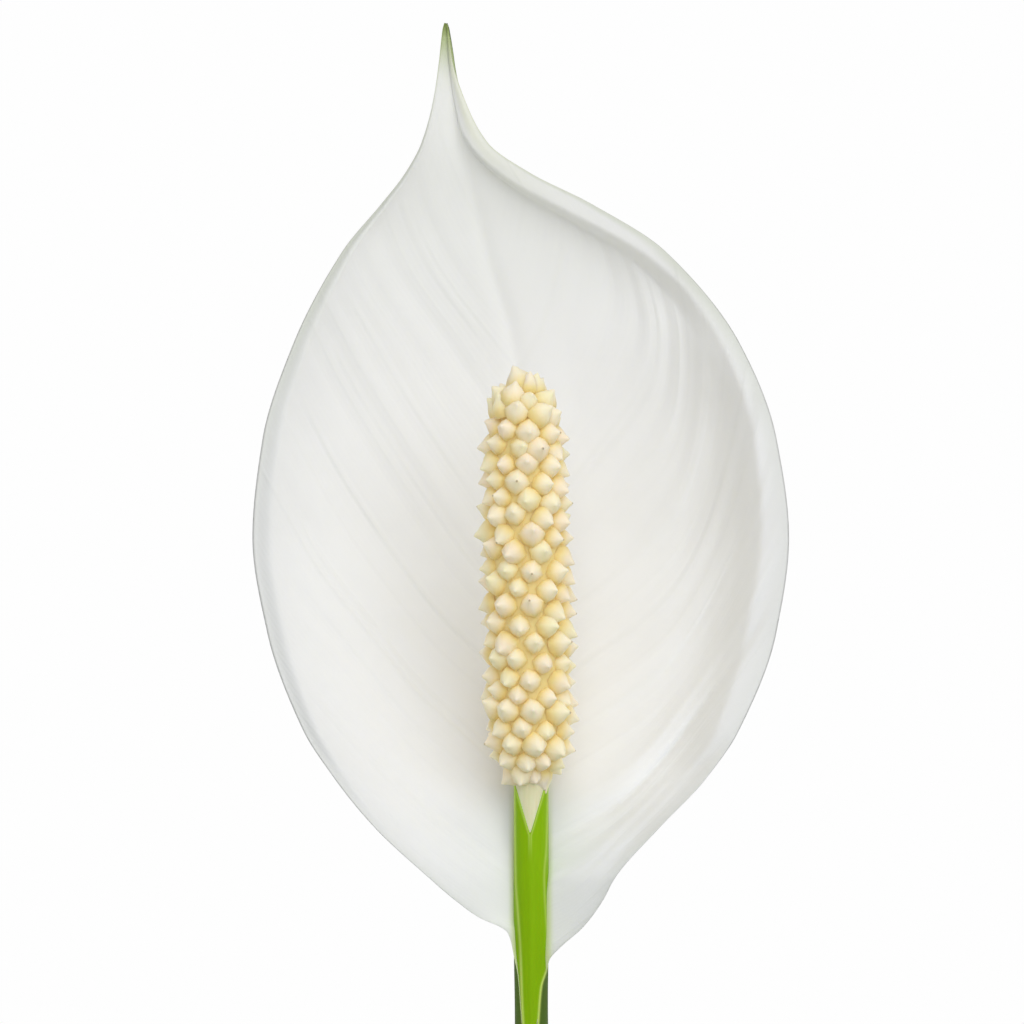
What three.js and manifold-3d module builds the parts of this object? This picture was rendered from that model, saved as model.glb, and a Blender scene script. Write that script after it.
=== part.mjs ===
// A potted peace lily, in millimetres, with +Z up and the bloom facing -Y.
// The origin is the centre of the pot's flat underside.
//
// A plain clay pot with drain holes holds potting mix. A short crown sits in the mix and carries a clump
// of long-stalked leaves and one flower stalk, which ends in a white spathe and a cream spadix.
import * as THREE from "three";
import { mergeVertices } from "three/addons/utils/BufferGeometryUtils.js";
import Module from "manifold-3d";

const wasm = await Module();
wasm.setup();

const DEGREE = Math.PI / 180;
const GOLDEN_ANGLE = 137.508 * DEGREE;
const SEAT_GAP = 0.3; // left between a piece and the piece that carries it

// ---- Driving dimensions ----

const pot = {
  height: 138,
  baseRadius: 51,
  neckRadius: 67, // just below the rim band
  rimRadius: 75,
  rimHeight: 27,
  rimTaper: 2, // the rim band's foot is this much smaller in radius than its top
  wall: 5.5,
  floor: 8,
  edgeRound: 1.5,
  turns: 40, // facets round the pot
  drainHoles: 3,
  drainRadius: 5.5,
  drainCircle: 27, // radius on which the holes stand
};

const soil = {
  top: 120,
  rise: 1.5, // of the middle above the top
  shoulder: 4, // width of the slope that runs down to the pot's wall
  turns: 40,
};

const crown = { radius: 28, top: 131, bottom: 96, widest: 118, turns: 24, rings: 5 };

const foliage = {
  leaves: 18,
  spacing: 4.9, // petioles stand on the crown at spacing * sqrt(number + 1)
  turn: 62 * DEGREE, // direction that the numbering starts from
  petiole: { young: 208, old: 118, baseRadius: 3.1, endRadius: 1.9 },
  blade: { young: 165, old: 192, youngWidth: 58, oldWidth: 76 },
  lean: { youngBase: 4, oldBase: 22, youngEnd: 13, oldEnd: 54 }, // degrees from upright
  droop: { young: 80, old: 136 }, // how far from upright the blade's tip points
  knee: 12, // bend between petiole and blade, in degrees
  kneeShare: 0.12, // share of the blade over which the knee bends
  fold: 0.24, // rise of each half of a blade above its midrib
  thickness: 0.8,
  rib: 1.5,
  rooted: 6, // depth of a petiole's foot below the crown's top
  petioleSteps: 6,
  bladeSteps: 11,
};

// The bloom is laid out from the point where the spathe's base meets the stalk.
const bloom = {
  base: 470,
  stalkRadius: 2.4,
  stalkFlare: 0.25, // share by which the stalk is thicker at the crown
  stalkRooted: 4, // depth of its foot below the crown's top
  stalkTop: 22,
  stalkBow: 6, // how far the stalk strays from upright, lower and higher up
  stalkSway: 5,
};

// Edges of the spathe seen from the front, as [height, x]. The stalk is at x = 0.
const spatheLeft = [
  [-7, -1.5], [-2.8, -1.86], [-0.6, -2.3], [2.2, -2.9], [3.3, -3.4], [4, -4.4], [5.1, -6.95], [7.6, -10.4],
  [11, -14.3], [17.6, -21.5], [24.4, -27.3], [31, -31.8], [44.5, -37], [58, -39.2], [71.4, -37.9],
  [84.8, -33.7], [98.3, -26.6], [105, -21.1], [109.2, -17.8], [113.4, -15.5], [119, -13.9], [125, -13.1],
  [128.5, -12.6], [130, -12.2],
];
const spatheRight = [
  [-7, 1], [-4.5, 1.4], [-2, 2.2], [-0.7, 2.5], [1, 3.9], [4, 7.2], [7.6, 9.8], [11, 11.6], [17.6, 17.4],
  [24.4, 24], [31, 28.7], [44.5, 34.1], [58, 36], [71.4, 34.4], [84.8, 29.5], [98.3, 18.9], [105, 8.4],
  [109.2, 0], [113.4, -6], [119, -9.1], [125, -10.8], [128.5, -11.3], [130, -11.8],
];
const spatheMidrib = [
  [-7, 0], [58, 0], [71, -0.6], [85, -2.4], [97, -5.9], [103, -7.4], [110, -8.9], [116, -10.3], [130, -12],
];
// Depth of the midrib behind the stalk, and how far each edge stands forward of it, by height.
const spatheDepth = [
  [-7, 0], [-2, 0], [10, 0.6], [18, 2.6], [23, 4.9], [27, 7.6], [32, 10.2], [45, 16], [60, 20], [80, 21.5],
  [100, 20], [115, 17], [130, 15],
];
const leftForward = [
  [-7, 0.5], [-2, 1.2], [2, 1.4], [10, 4], [20, 6], [40, 8], [60, 9], [80, 8], [95, 6], [105, 4], [113, 3],
  [120, 2], [130, 0.3],
];
const rightForward = [
  [-7, 0.5], [-2, 1], [2, 2.2], [10, 5], [20, 8.5], [40, 13], [60, 15], [78, 13], [86, 9.6], [93, 6],
  [100, 4], [105, 3.1], [109, 2.5], [113, 2.1], [120, 1.6], [130, 0.3],
];
// The right half turns forward in a wall that ends at a lip: [share of the way to the lip, share of the rise].
const wallRise = [
  [0, 0], [0.2, 0.02], [0.4, 0.08], [0.6, 0.19], [0.72, 0.34], [0.8, 0.55], [0.86, 0.8], [0.9, 0.93], [1, 0.95],
];
// Share of the right half's width at which its lip begins, by height.
const lipStart = [
  [-7, 0.2], [8, 0.22], [10.5, 0.26], [12.6, 0.41], [15.4, 0.54], [18.2, 0.66], [21, 0.75], [25.9, 0.9],
  [43, 0.89], [54, 0.897], [71, 0.92], [83, 0.928], [92.4, 0.93], [96.6, 0.895], [99.4, 0.84], [103.6, 0.72],
  [106.4, 0.61], [109.2, 0.51], [112, 0.38], [114.8, 0.25], [120, 0.2], [130, 0.2],
];
const spathe = {
  thickness: 0.8,
  heightSteps: 26,
  acrossSteps: 16,
  closerToFoot: 0.3, // how much closer together the height steps are at the foot
  closerToEdge: 0.8, // power that sets the steps closer together towards the edges
  creaseEnds: [16, 32], // heights over which the right half opens from a crease to a hollow
  hollowEnds: [84, 97], // heights over which its wall narrows to a step beside the lip
  creaseRise: 0.3, // share of the rise inside the crease
  hollowReach: 0.9, // share of the wall's profile that lies inside the lip
  stepRise: [0.25, 0.68], // share of the rise before the step, and in it
  stepFrom: 0.88, // share of the way to the lip at which the step starts
  marginDroop: 1.7, // how far the left margin turns back
  droopFrom: 0.925, // share of the left half's width at which it starts
  droopHeights: [10, 35, 100, 124], // where it fades in and out
};

// Radius over the florets' tips, by height above the spathe's base.
const spadixRadius = [
  [22.6, 2.6], [24.1, 4.3], [26.3, 5.7], [28.5, 6.6], [34, 7.05], [42, 7.2], [50, 7.25], [58, 7.15], [63, 7],
  [69.7, 6.6], [75.3, 5.8], [78.5, 4.3], [80.1, 2.9], [81.4, 1.1],
];
const spadix = {
  florets: 200,
  turn: 317.65, // angle from one floret to the next, in degrees
  rows: [9, 8, 17], // places on to each floret's neighbours: the steep rows one way, the other, and straight up
  relief: 1.9, // from the gaps between florets to their tips
  core: 0.3, // least radius of a gap
  endCap: 0.3, // how far each end's middle stands out
  lean: -0.06, // forward lean of the axis, towards -Y
  sideLean: -0.019,
  stipeBottom: 16.5,
  stipeRadius: 1.9,
  stipePoint: 0.3, // radius of its lower end
  stipeForward: 0.2, // how far its top stands forward of the stalk's centre
};

// ---- Shapes that several pieces share ----

// A smooth function through [position, value] pairs that never overshoots them.
function through(pairs) {
  const n = pairs.length;
  const slope = pairs.slice(1).map(([p, v], i) => (v - pairs[i][1]) / (p - pairs[i][0]));
  const tangent = pairs.map((_, i) => {
    if (i === 0) return slope[0];
    if (i === n - 1) return slope[n - 2];
    const [a, b] = [slope[i - 1], slope[i]];
    return a * b <= 0 ? 0 : (2 * a * b) / (a + b);
  });
  return (p) => {
    let i = 0;
    while (i < n - 2 && p > pairs[i + 1][0]) i += 1;
    const [[p0, v0], [p1, v1]] = [pairs[i], pairs[i + 1]];
    const step = p1 - p0;
    const t = THREE.MathUtils.clamp((p - p0) / step, 0, 1);
    const h = t * t * (3 - 2 * t);
    return v0 + (v1 - v0) * h + step * (tangent[i] * t * (1 - t) ** 2 - tangent[i + 1] * t * t * (1 - t));
  };
}

// A closed skin over rings. Each ring has an upper and a lower row of equally many points, left to right.
function skin(rings) {
  const across = rings[0].upper.length;
  const size = 2 * across;
  const points = rings.flatMap(({ upper, lower }) => [...upper, ...lower]);
  const index = [];
  const quad = (a, b, c, d) => index.push(a, b, c, a, c, d);
  for (let i = 0; i < rings.length - 1; i += 1) {
    const [here, next] = [i * size, (i + 1) * size];
    for (let j = 0; j < across - 1; j += 1) {
      quad(here + j, here + j + 1, next + j + 1, next + j);
      quad(here + across + j + 1, here + across + j, next + across + j, next + across + j + 1);
    }
    quad(here + across, here, next, next + across);
    quad(here + across - 1, here + size - 1, next + size - 1, next + across - 1);
  }
  const last = (rings.length - 1) * size;
  for (let j = 0; j < across - 1; j += 1) {
    quad(j + 1, j, across + j, across + j + 1);
    quad(last + j, last + j + 1, last + across + j + 1, last + across + j);
  }
  return indexed(points.flatMap((p) => [p.x, p.y, p.z]), index);
}

function indexed(position, index) {
  const geometry = new THREE.BufferGeometry();
  geometry.setAttribute("position", new THREE.Float32BufferAttribute(position, 3));
  geometry.setIndex(index);
  return geometry;
}

// The offset of a point of a round section: u runs across it, and face is 1 above and -1 below.
function roundSection(radius, u, face) {
  const angle = u * 75 * DEGREE;
  return { x: radius * Math.sin(angle), up: face * radius * Math.cos(angle) };
}

const ACROSS_A_STEM = [-1, -0.5, 0, 0.5, 1];

// A turned shape standing on +Z from [radius, height] pairs.
function turned(profile, turns) {
  const points = profile.map(([r, z]) => new THREE.Vector2(r, z));
  return new THREE.LatheGeometry(points, turns).rotateX(Math.PI / 2);
}

function solidOf(geometry) {
  const bare = new THREE.BufferGeometry();
  bare.setAttribute("position", geometry.getAttribute("position"));
  bare.setIndex(geometry.index);
  const merged = mergeVertices(bare, 1e-4);
  const made = new wasm.Manifold(
    new wasm.Mesh({
      numProp: 3,
      vertProperties: new Float32Array(merged.attributes.position.array),
      triVerts: new Uint32Array(merged.index.array),
    }),
  );
  if (made.volume() < 0) throw new Error("a shape is inside out");
  return made;
}

function geometryOf(solid) {
  const { vertProperties, triVerts } = solid.getMesh();
  return indexed(Array.from(vertProperties), Array.from(triVerts));
}

function piece(name, geometry, material) {
  const mesh = new THREE.Mesh(geometry, material);
  mesh.name = name;
  return mesh;
}

const matte = (color, roughness) => new THREE.MeshStandardMaterial({ color, roughness, metalness: 0 });
const materials = {
  clay: matte("#b5694a", 0.85),
  mix: matte("#3a2a1f", 0.95),
  crown: matte("#6d7a3a", 0.7),
  leaf: matte("#24561f", 0.35),
  stalk: matte("#7fae12", 0.4),
  spathe: matte("#f2f3f0", 0.45),
  spadix: matte("#f0dfae", 0.6),
};

// ---- Pot ----

function potShape() {
  const { height, baseRadius, neckRadius, rimRadius, rimHeight, rimTaper, wall, floor, edgeRound } = pot;
  const { drainRadius, drainCircle } = pot;
  const rimFoot = height - rimHeight;
  const profile = [
    [0, 0],
    [baseRadius - edgeRound, 0],
    [baseRadius, edgeRound],
    [neckRadius, rimFoot - edgeRound],
    [rimRadius - rimTaper - edgeRound, rimFoot],
    [rimRadius - rimTaper, rimFoot + edgeRound],
    [rimRadius, height - edgeRound],
    [rimRadius - edgeRound, height],
    [rimRadius - wall, height],
    [rimRadius - wall - edgeRound, height - edgeRound],
    [neckRadius - wall, rimFoot - edgeRound],
    [innerFoot() + edgeRound, floor + 2 * edgeRound],
    [innerFoot() - edgeRound, floor],
    [0, floor],
  ];
  let solid = solidOf(turned(profile, pot.turns));
  for (let i = 0; i < pot.drainHoles; i += 1) {
    const angle = ((i + 0.25) / pot.drainHoles) * 2 * Math.PI;
    const hole = new THREE.CylinderGeometry(drainRadius, drainRadius, 3 * floor, 12);
    hole.rotateX(Math.PI / 2).translate(drainCircle * Math.cos(angle), drainCircle * Math.sin(angle), 0);
    solid = solid.subtract(solidOf(hole));
  }
  return geometryOf(solid);
}

// Radius inside the pot where the wall meets the floor.
function innerFoot() {
  return pot.baseRadius - pot.wall + 1;
}

// ---- Potting mix and crown ----

// The crown is egg-shaped, widest just under the mix's surface. It can be grown to cut room for itself.
function crownShape(grow) {
  const { radius, top, bottom, widest, turns, rings } = crown;
  const profile = [[0, bottom - grow]];
  for (let i = 1; i < rings; i += 1) {
    const a = (i / rings) * 90 * DEGREE;
    profile.push([(radius + grow) * Math.sin(a), widest - (widest - bottom + grow) * Math.cos(a)]);
  }
  for (let i = 0; i < rings; i += 1) {
    const a = (i / rings) * 90 * DEGREE;
    profile.push([(radius + grow) * Math.cos(a), widest + (top - widest + grow) * Math.sin(a)]);
  }
  profile.push([0, top + grow]);
  return turned(profile, turns);
}

function soilShape() {
  const { height, neckRadius, rimHeight, wall, floor, edgeRound, rimRadius } = pot;
  const neck = height - rimHeight - edgeRound;
  const rimEdge = soil.top - 1;
  const share = (rimEdge - neck) / (height - edgeRound - neck);
  const topRadius = neckRadius - wall + (rimRadius - neckRadius - edgeRound) * share;
  const profile = [
    [0, floor + SEAT_GAP],
    [innerFoot() - edgeRound - SEAT_GAP, floor + SEAT_GAP],
    [innerFoot() + edgeRound - 2 * SEAT_GAP, floor + 2 * edgeRound],
    [neckRadius - wall - SEAT_GAP, neck],
    [topRadius - SEAT_GAP, rimEdge],
    [topRadius - soil.shoulder, soil.top],
    [topRadius / 2, soil.top + soil.rise],
    [0, soil.top + soil.rise],
  ];
  return geometryOf(solidOf(turned(profile, soil.turns)).subtract(solidOf(crownShape(SEAT_GAP))));
}

// ---- Leaves ----

// What sets leaf number n apart. Number 1 is the youngest and most upright.
function leafPlan(n) {
  const age = (n - 1) / (foliage.leaves - 1);
  const wobble = Math.sin(n * 5.1);
  const mix = THREE.MathUtils.lerp;
  const { petiole, blade, lean, droop } = foliage;
  return {
    start: foliage.spacing * Math.sqrt(n + 1),
    azimuth: foliage.turn + n * GOLDEN_ANGLE,
    petiole: mix(petiole.young, petiole.old, age) + 8 * wobble,
    blade: mix(blade.young, blade.old, age) + 7 * Math.cos(n * 2.3),
    halfWidth: mix(blade.youngWidth, blade.oldWidth, age) / 2,
    baseLean: mix(lean.youngBase, lean.oldBase, age) * DEGREE,
    endLean: (mix(lean.youngEnd, lean.oldEnd, age) + 2 * wobble) * DEGREE,
    tipLean: (mix(droop.young, droop.old, age) + 5 * Math.cos(n * 1.7)) * DEGREE,
    sway: 7 * Math.sin(n * 3.7) * DEGREE,
    roll: 9 * Math.sin(n * 4.3) * DEGREE,
  };
}

// Points and directions along the middle of a leaf, from the crown to the tip. The length along runs from -1
// at the crown to 0 where the blade starts and 1 at the tip.
function leafLine(plan) {
  const { petioleSteps, bladeSteps } = foliage;
  const stations = [];
  const total = plan.petiole + plan.blade;
  const fine = 8;
  let radius = plan.start;
  let height = crown.top - foliage.rooted;
  let run = 0;
  const stationAt = (along) => {
    const azimuth = plan.azimuth + plan.sway * (run / total) ** 2;
    const out = new THREE.Vector3(Math.cos(azimuth), Math.sin(azimuth), 0);
    const lean = leanAt(plan, run);
    const forward = out.clone().multiplyScalar(Math.sin(lean)).setZ(Math.cos(lean));
    const side = new THREE.Vector3(Math.sin(azimuth), -Math.cos(azimuth), 0);
    const up = new THREE.Vector3().crossVectors(side, forward).normalize();
    const roll = plan.roll * THREE.MathUtils.smoothstep(along, 0, 0.4);
    side.applyAxisAngle(forward, roll);
    up.applyAxisAngle(forward, roll);
    stations.push({ point: out.multiplyScalar(radius).setZ(height), side, up, along });
  };
  const advance = (length) => {
    for (let k = 0; k < fine; k += 1) {
      const lean = leanAt(plan, run + length / fine / 2);
      radius += (Math.sin(lean) * length) / fine;
      height += (Math.cos(lean) * length) / fine;
      run += length / fine;
    }
  };
  stationAt(-1);
  for (let i = 1; i <= petioleSteps; i += 1) {
    advance(plan.petiole / petioleSteps);
    stationAt(i / petioleSteps - 1);
  }
  for (let i = 1; i <= bladeSteps; i += 1) {
    advance(plan.blade / bladeSteps);
    stationAt(i / bladeSteps);
  }
  return stations;
}

// Angle from upright at a distance along the leaf: the petiole arches out, the knee bends, the blade droops.
function leanAt(plan, run) {
  if (run < plan.petiole) {
    return plan.baseLean + (plan.endLean - plan.baseLean) * (run / plan.petiole) ** 2;
  }
  const t = (run - plan.petiole) / plan.blade;
  const knee = foliage.knee * DEGREE;
  const bent = knee * THREE.MathUtils.smoothstep(t, 0, foliage.kneeShare);
  return plan.endLean + bent + (plan.tipLean - plan.endLean - knee) * t ** 1.3;
}

// Share of the full half width along the blade, which is widest at two fifths and has a drawn-out tip.
const bladeOutline = through([
  [0, 0.05], [0.05, 0.26], [0.15, 0.66], [0.28, 0.94], [0.4, 1], [0.55, 0.93], [0.7, 0.72], [0.83, 0.42],
  [0.92, 0.19], [1, 0.035],
]);

function leafShape(plan) {
  const { petiole, fold, thickness, rib } = foliage;
  const rings = leafLine(plan).map(({ point, side, up, along }) => {
    const bladeShare = THREE.MathUtils.smoothstep(along, 0, 0.06);
    const radius = THREE.MathUtils.lerp(petiole.baseRadius, petiole.endRadius, Math.min(1, along + 1));
    const half = plan.halfWidth * bladeOutline(along);
    const ribDepth = rib * (1 - along);
    const at = (u, face) => {
      const stem = roundSection(radius, u, face);
      const keel = face < 0 && u === 0 ? ribDepth : 0;
      const leaf = { x: u * half, up: fold * Math.abs(u) * half + (face * thickness) / 2 - keel };
      const x = THREE.MathUtils.lerp(stem.x, leaf.x, bladeShare);
      const rise = THREE.MathUtils.lerp(stem.up, leaf.up, bladeShare);
      return point.clone().addScaledVector(side, x).addScaledVector(up, rise);
    };
    return { upper: ACROSS_A_STEM.map((u) => at(u, 1)), lower: ACROSS_A_STEM.map((u) => at(u, -1)) };
  });
  return geometryOf(solidOf(skin(rings)).subtract(solidOf(crownShape(SEAT_GAP))));
}

// ---- Bloom ----

// Centre of the flower stalk at a height above the pot's underside: it sways a little below the bloom.
function stalkCentre(z) {
  const t = THREE.MathUtils.clamp((z - crown.top) / (bloom.base - crown.top), 0, 1);
  const bend = Math.sin(Math.PI * t) ** 2;
  return new THREE.Vector3(bloom.stalkSway * bend * t, bloom.stalkBow * bend * (1 - t), z);
}

function stalkShape(grow) {
  const steps = 12;
  const bottom = crown.top - bloom.stalkRooted;
  const top = bloom.base + bloom.stalkTop;
  const heights = [];
  for (let i = 0; i <= steps; i += 1) heights.push(bottom + ((bloom.base - bottom) * i) / steps);
  heights.push(bloom.base + bloom.stalkTop / 2, top + grow);
  const rings = heights.map((z) => {
    const centre = stalkCentre(z);
    const thicker = 1 + bloom.stalkFlare * (1 - (z - bottom) / (top - bottom));
    const at = (u, face) => {
      const { x, up } = roundSection(bloom.stalkRadius * thicker + grow, u, face);
      return centre.clone().add(new THREE.Vector3(x, -up, 0));
    };
    return { upper: ACROSS_A_STEM.map((u) => at(u, 1)), lower: ACROSS_A_STEM.map((u) => at(u, -1)) };
  });
  return solidOf(skin(rings));
}

const [spatheFoot, spatheTip] = [spatheLeft[0][0], spatheLeft.at(-1)[0]];
const edgeLeft = through(spatheLeft);
const edgeRight = through(spatheRight);
const midrib = through(spatheMidrib);
const depth = through(spatheDepth);
const forwardLeft = through(leftForward);
const forwardRight = through(rightForward);
const wallProfile = through(wallRise);
const lipAt = through(lipStart);

// Share of the right edge's rise at a share s of the right half's width.
function rightRise(s, height) {
  const { lerp, smoothstep } = THREE.MathUtils;
  const { creaseEnds, hollowEnds, creaseRise, hollowReach, stepRise, stepFrom } = spathe;
  const lip = lipAt(height);
  const inner = Math.min(1, s / lip);
  const outer = Math.max(0, (s - lip) / (1 - lip));
  const crease = creaseRise * inner ** 2 + (1 - creaseRise) * outer;
  const hollow = wallProfile(hollowReach * inner + (1 - hollowReach) * outer);
  const [before, within] = stepRise;
  const step = before * inner ** 3 + within * smoothstep(inner, stepFrom, 1) + (1 - before - within) * outer;
  return lerp(lerp(crease, hollow, smoothstep(height, ...creaseEnds)), step, smoothstep(height, ...hollowEnds));
}

function leftLift(s, height) {
  const { marginDroop, droopFrom, droopHeights } = spathe;
  const [start, full, ebb, end] = droopHeights;
  const { smoothstep } = THREE.MathUtils;
  const strength = smoothstep(height, start, full) * (1 - smoothstep(height, ebb, end));
  return forwardLeft(height) * s * s - marginDroop * smoothstep(s, droopFrom, 1) * strength;
}

// A point of the spathe's middle surface: u runs from -1 at the left edge to 1 at the right one.
function spathePoint(u, height) {
  const s = Math.abs(u);
  const edge = u < 0 ? edgeLeft(height) : edgeRight(height);
  const x = THREE.MathUtils.lerp(midrib(height), edge, s);
  const lift = u < 0 ? leftLift(s, height) : forwardRight(height) * rightRise(s, height);
  return new THREE.Vector3(x, depth(height) - lift, bloom.base + height);
}

function spatheNormal(u, height) {
  const d = 0.01;
  const clamp = THREE.MathUtils.clamp;
  const across = spathePoint(clamp(u + d, -1, 1), height).sub(spathePoint(clamp(u - d, -1, 1), height));
  const above = spathePoint(u, Math.min(spatheTip, height + d));
  return across.cross(above.sub(spathePoint(u, Math.max(spatheFoot, height - d)))).normalize();
}

function spatheShape() {
  const { thickness, heightSteps, acrossSteps, closerToFoot, closerToEdge } = spathe;
  const rings = [];
  for (let i = 0; i <= heightSteps; i += 1) {
    const share = i / heightSteps;
    const height = spatheFoot + (spatheTip - spatheFoot) * share * (1 - closerToFoot * (1 - share));
    const upper = [];
    const lower = [];
    for (let j = 0; j <= acrossSteps; j += 1) {
      const even = (2 * j) / acrossSteps - 1;
      const u = Math.sign(even) * Math.abs(even) ** closerToEdge;
      const point = spathePoint(u, height);
      const normal = spatheNormal(u, height).multiplyScalar(thickness / 2);
      upper.push(point.clone().add(normal));
      lower.push(point.clone().sub(normal));
    }
    rings.push({ upper, lower });
  }
  return geometryOf(solidOf(skin(rings)).subtract(stalkShape(SEAT_GAP)));
}

function spadixAxis(height) {
  const rise = height - bloom.stalkTop;
  return new THREE.Vector3(spadix.sideLean * rise, spadix.lean * rise, bloom.base + height);
}

// The spadix stands on a short cone, the stipe, whose point runs down into the front of the stalk.
function stipeShape(grow) {
  const { stipeBottom, stipeRadius, stipePoint, stipeForward } = spadix;
  const height = bloom.stalkTop + 2 - stipeBottom;
  const cone = new THREE.CylinderGeometry(stipeRadius + grow, stipePoint + grow, height + 2 * grow, 12);
  cone.rotateX(Math.PI / 2).translate(0, 0, height / 2);
  const position = cone.getAttribute("position");
  for (let i = 0; i < position.count; i += 1) {
    const belowTop = 1 - position.getZ(i) / height;
    position.setY(i, position.getY(i) - (bloom.stalkRadius - stipePoint) * belowTop - stipeForward);
    position.setZ(i, position.getZ(i) + bloom.base + stipeBottom);
  }
  return solidOf(cone);
}

// Florets stand in a spiral of steep rows. Each is a raised point, with a hollow in every gap between three.
function spadixShape() {
  const radiusAt = through(spadixRadius);
  const { florets, turn, rows, relief, core, endCap } = spadix;
  const [low, high] = [spadixRadius[0][0], spadixRadius.at(-1)[0]];
  const points = [];
  for (let i = 0; i < florets; i += 1) {
    const height = low + ((high - low) * i) / (florets - 1);
    const angle = i * turn * DEGREE;
    const out = new THREE.Vector3(Math.cos(angle), Math.sin(angle), 0).multiplyScalar(radiusAt(height));
    points.push(spadixAxis(height).add(out));
  }
  const index = [];
  const facet = (a, b, c) => {
    const centre = points[a].clone().add(points[b]).add(points[c]).divideScalar(3);
    const axis = spadixAxis(centre.z - bloom.base);
    const out = centre.sub(axis).setZ(0);
    points.push(axis.add(out.setLength(Math.max(core, out.length() - relief))));
    const middle = points.length - 1;
    index.push(b, a, middle, c, b, middle, a, c, middle);
  };
  const [near, next, far] = rows;
  for (let i = 0; i + far < florets; i += 1) {
    facet(i, i + near, i + far);
    facet(i, i + far, i + next);
  }
  points.push(spadixAxis(low - endCap), spadixAxis(high + endCap));
  const [foot, tip] = [points.length - 2, points.length - 1];
  const last = florets - 1;
  for (let i = 0; i < next; i += 1) {
    index.push(i, i + near, foot);
    index.push(last - i, last - i - near, tip);
  }
  for (let i = 0; i < near; i += 1) {
    index.push(i + next, i, foot);
    index.push(last - i - next, last - i, tip);
  }
  const body = solidOf(indexed(points.flatMap((p) => [p.x, p.y, p.z]), index));
  return body.add(stipeShape(0));
}

// ---- The plant in its pot ----

const lily = new THREE.Group();
lily.name = "potted_peace_lily";

lily.add(piece("pot", potShape(), materials.clay));
lily.add(piece("potting_mix", soilShape(), materials.mix));
lily.add(piece("crown", crownShape(0), materials.crown));

const plant = new THREE.Group();
for (let n = 1; n <= foliage.leaves; n += 1) {
  plant.add(piece(`leaf_${String(n).padStart(2, "0")}`, leafShape(leafPlan(n)), materials.leaf));
}
const stalk = stalkShape(0).subtract(solidOf(crownShape(SEAT_GAP))).subtract(stipeShape(SEAT_GAP));
plant.add(piece("flower_stalk", geometryOf(stalk), materials.stalk));
plant.add(piece("spathe", spatheShape(), materials.spathe));
plant.add(piece("spadix", geometryOf(spadixShape()), materials.spadix));
lily.add(plant);

export default lily;
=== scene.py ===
"""A potted peace lily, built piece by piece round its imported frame, with a studio to see it in.

Run as a script in Blender. Everything is in metres, with +Z up and the bloom facing -Y, and the origin is the
centre of the pot's flat underside.
"""

import math
import random

import bmesh
import bpy
from bpy.props import FloatProperty, FloatVectorProperty, IntProperty, PointerProperty
from mathutils import Matrix, Vector, noise


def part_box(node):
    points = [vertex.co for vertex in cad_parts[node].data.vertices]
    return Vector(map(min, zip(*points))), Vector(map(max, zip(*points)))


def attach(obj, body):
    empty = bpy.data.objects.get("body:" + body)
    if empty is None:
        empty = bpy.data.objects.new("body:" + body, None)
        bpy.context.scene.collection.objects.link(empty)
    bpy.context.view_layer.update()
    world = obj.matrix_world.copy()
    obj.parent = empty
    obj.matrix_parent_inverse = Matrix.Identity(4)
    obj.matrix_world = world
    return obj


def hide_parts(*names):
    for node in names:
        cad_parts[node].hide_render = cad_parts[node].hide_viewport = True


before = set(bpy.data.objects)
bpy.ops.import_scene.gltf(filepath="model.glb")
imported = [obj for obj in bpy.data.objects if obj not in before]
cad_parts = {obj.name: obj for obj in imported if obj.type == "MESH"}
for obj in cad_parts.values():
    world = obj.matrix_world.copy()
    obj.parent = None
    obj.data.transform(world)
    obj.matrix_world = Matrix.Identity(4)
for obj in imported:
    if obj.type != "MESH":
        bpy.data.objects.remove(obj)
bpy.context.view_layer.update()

bl_info = {
    "name": "Potted Peace Lily",
    "version": (1, 0, 0),
    "blender": (4, 5, 0),
    "location": "3D View > Sidebar > Peace Lily",
    "description": "Builds a peace lily in a clay pot, with its leaves, flower stalk, spathe and spadix",
    "category": "Add Mesh",
}

MM = 0.001
DEGREE = math.pi / 180
GOLDEN_ANGLE = 137.508 * DEGREE
BODY = "root"
LEAVES = sorted(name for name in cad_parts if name.startswith("leaf_"))
# Points closer than this are one point.
WELD = 1e-7
# How far forward a leaf's lateral veins run on their way out, in proportion and with its square.
VEIN_LEAN = 0.09
VEIN_SWEEP = 0.08


# ---- Colours, sizes and their panel entries ----


def to_linear(value):
    value /= 255
    return value / 12.92 if value <= 0.04045 else ((value + 0.055) / 1.055) ** 2.4


def srgb(red, green, blue):
    """A screen colour from 0 to 255, in the linear values that Blender mixes."""
    return tuple(to_linear(value) for value in (red, green, blue))


def length(name, description, default):
    return FloatProperty(name=name, description=description, default=default, unit="LENGTH", precision=5)


def colour(name, description, red, green, blue):
    return FloatVectorProperty(
        name=name,
        description=description,
        default=srgb(red, green, blue),
        subtype="COLOR",
        size=3,
        min=0,
        max=1,
    )


def count(name, description, default):
    return IntProperty(name=name, description=description, default=default, min=0)


def share(name, description, default):
    return FloatProperty(name=name, description=description, default=default, subtype="FACTOR")


def level(name, description, default):
    return FloatProperty(name=name, description=description, default=default, min=0)


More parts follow.
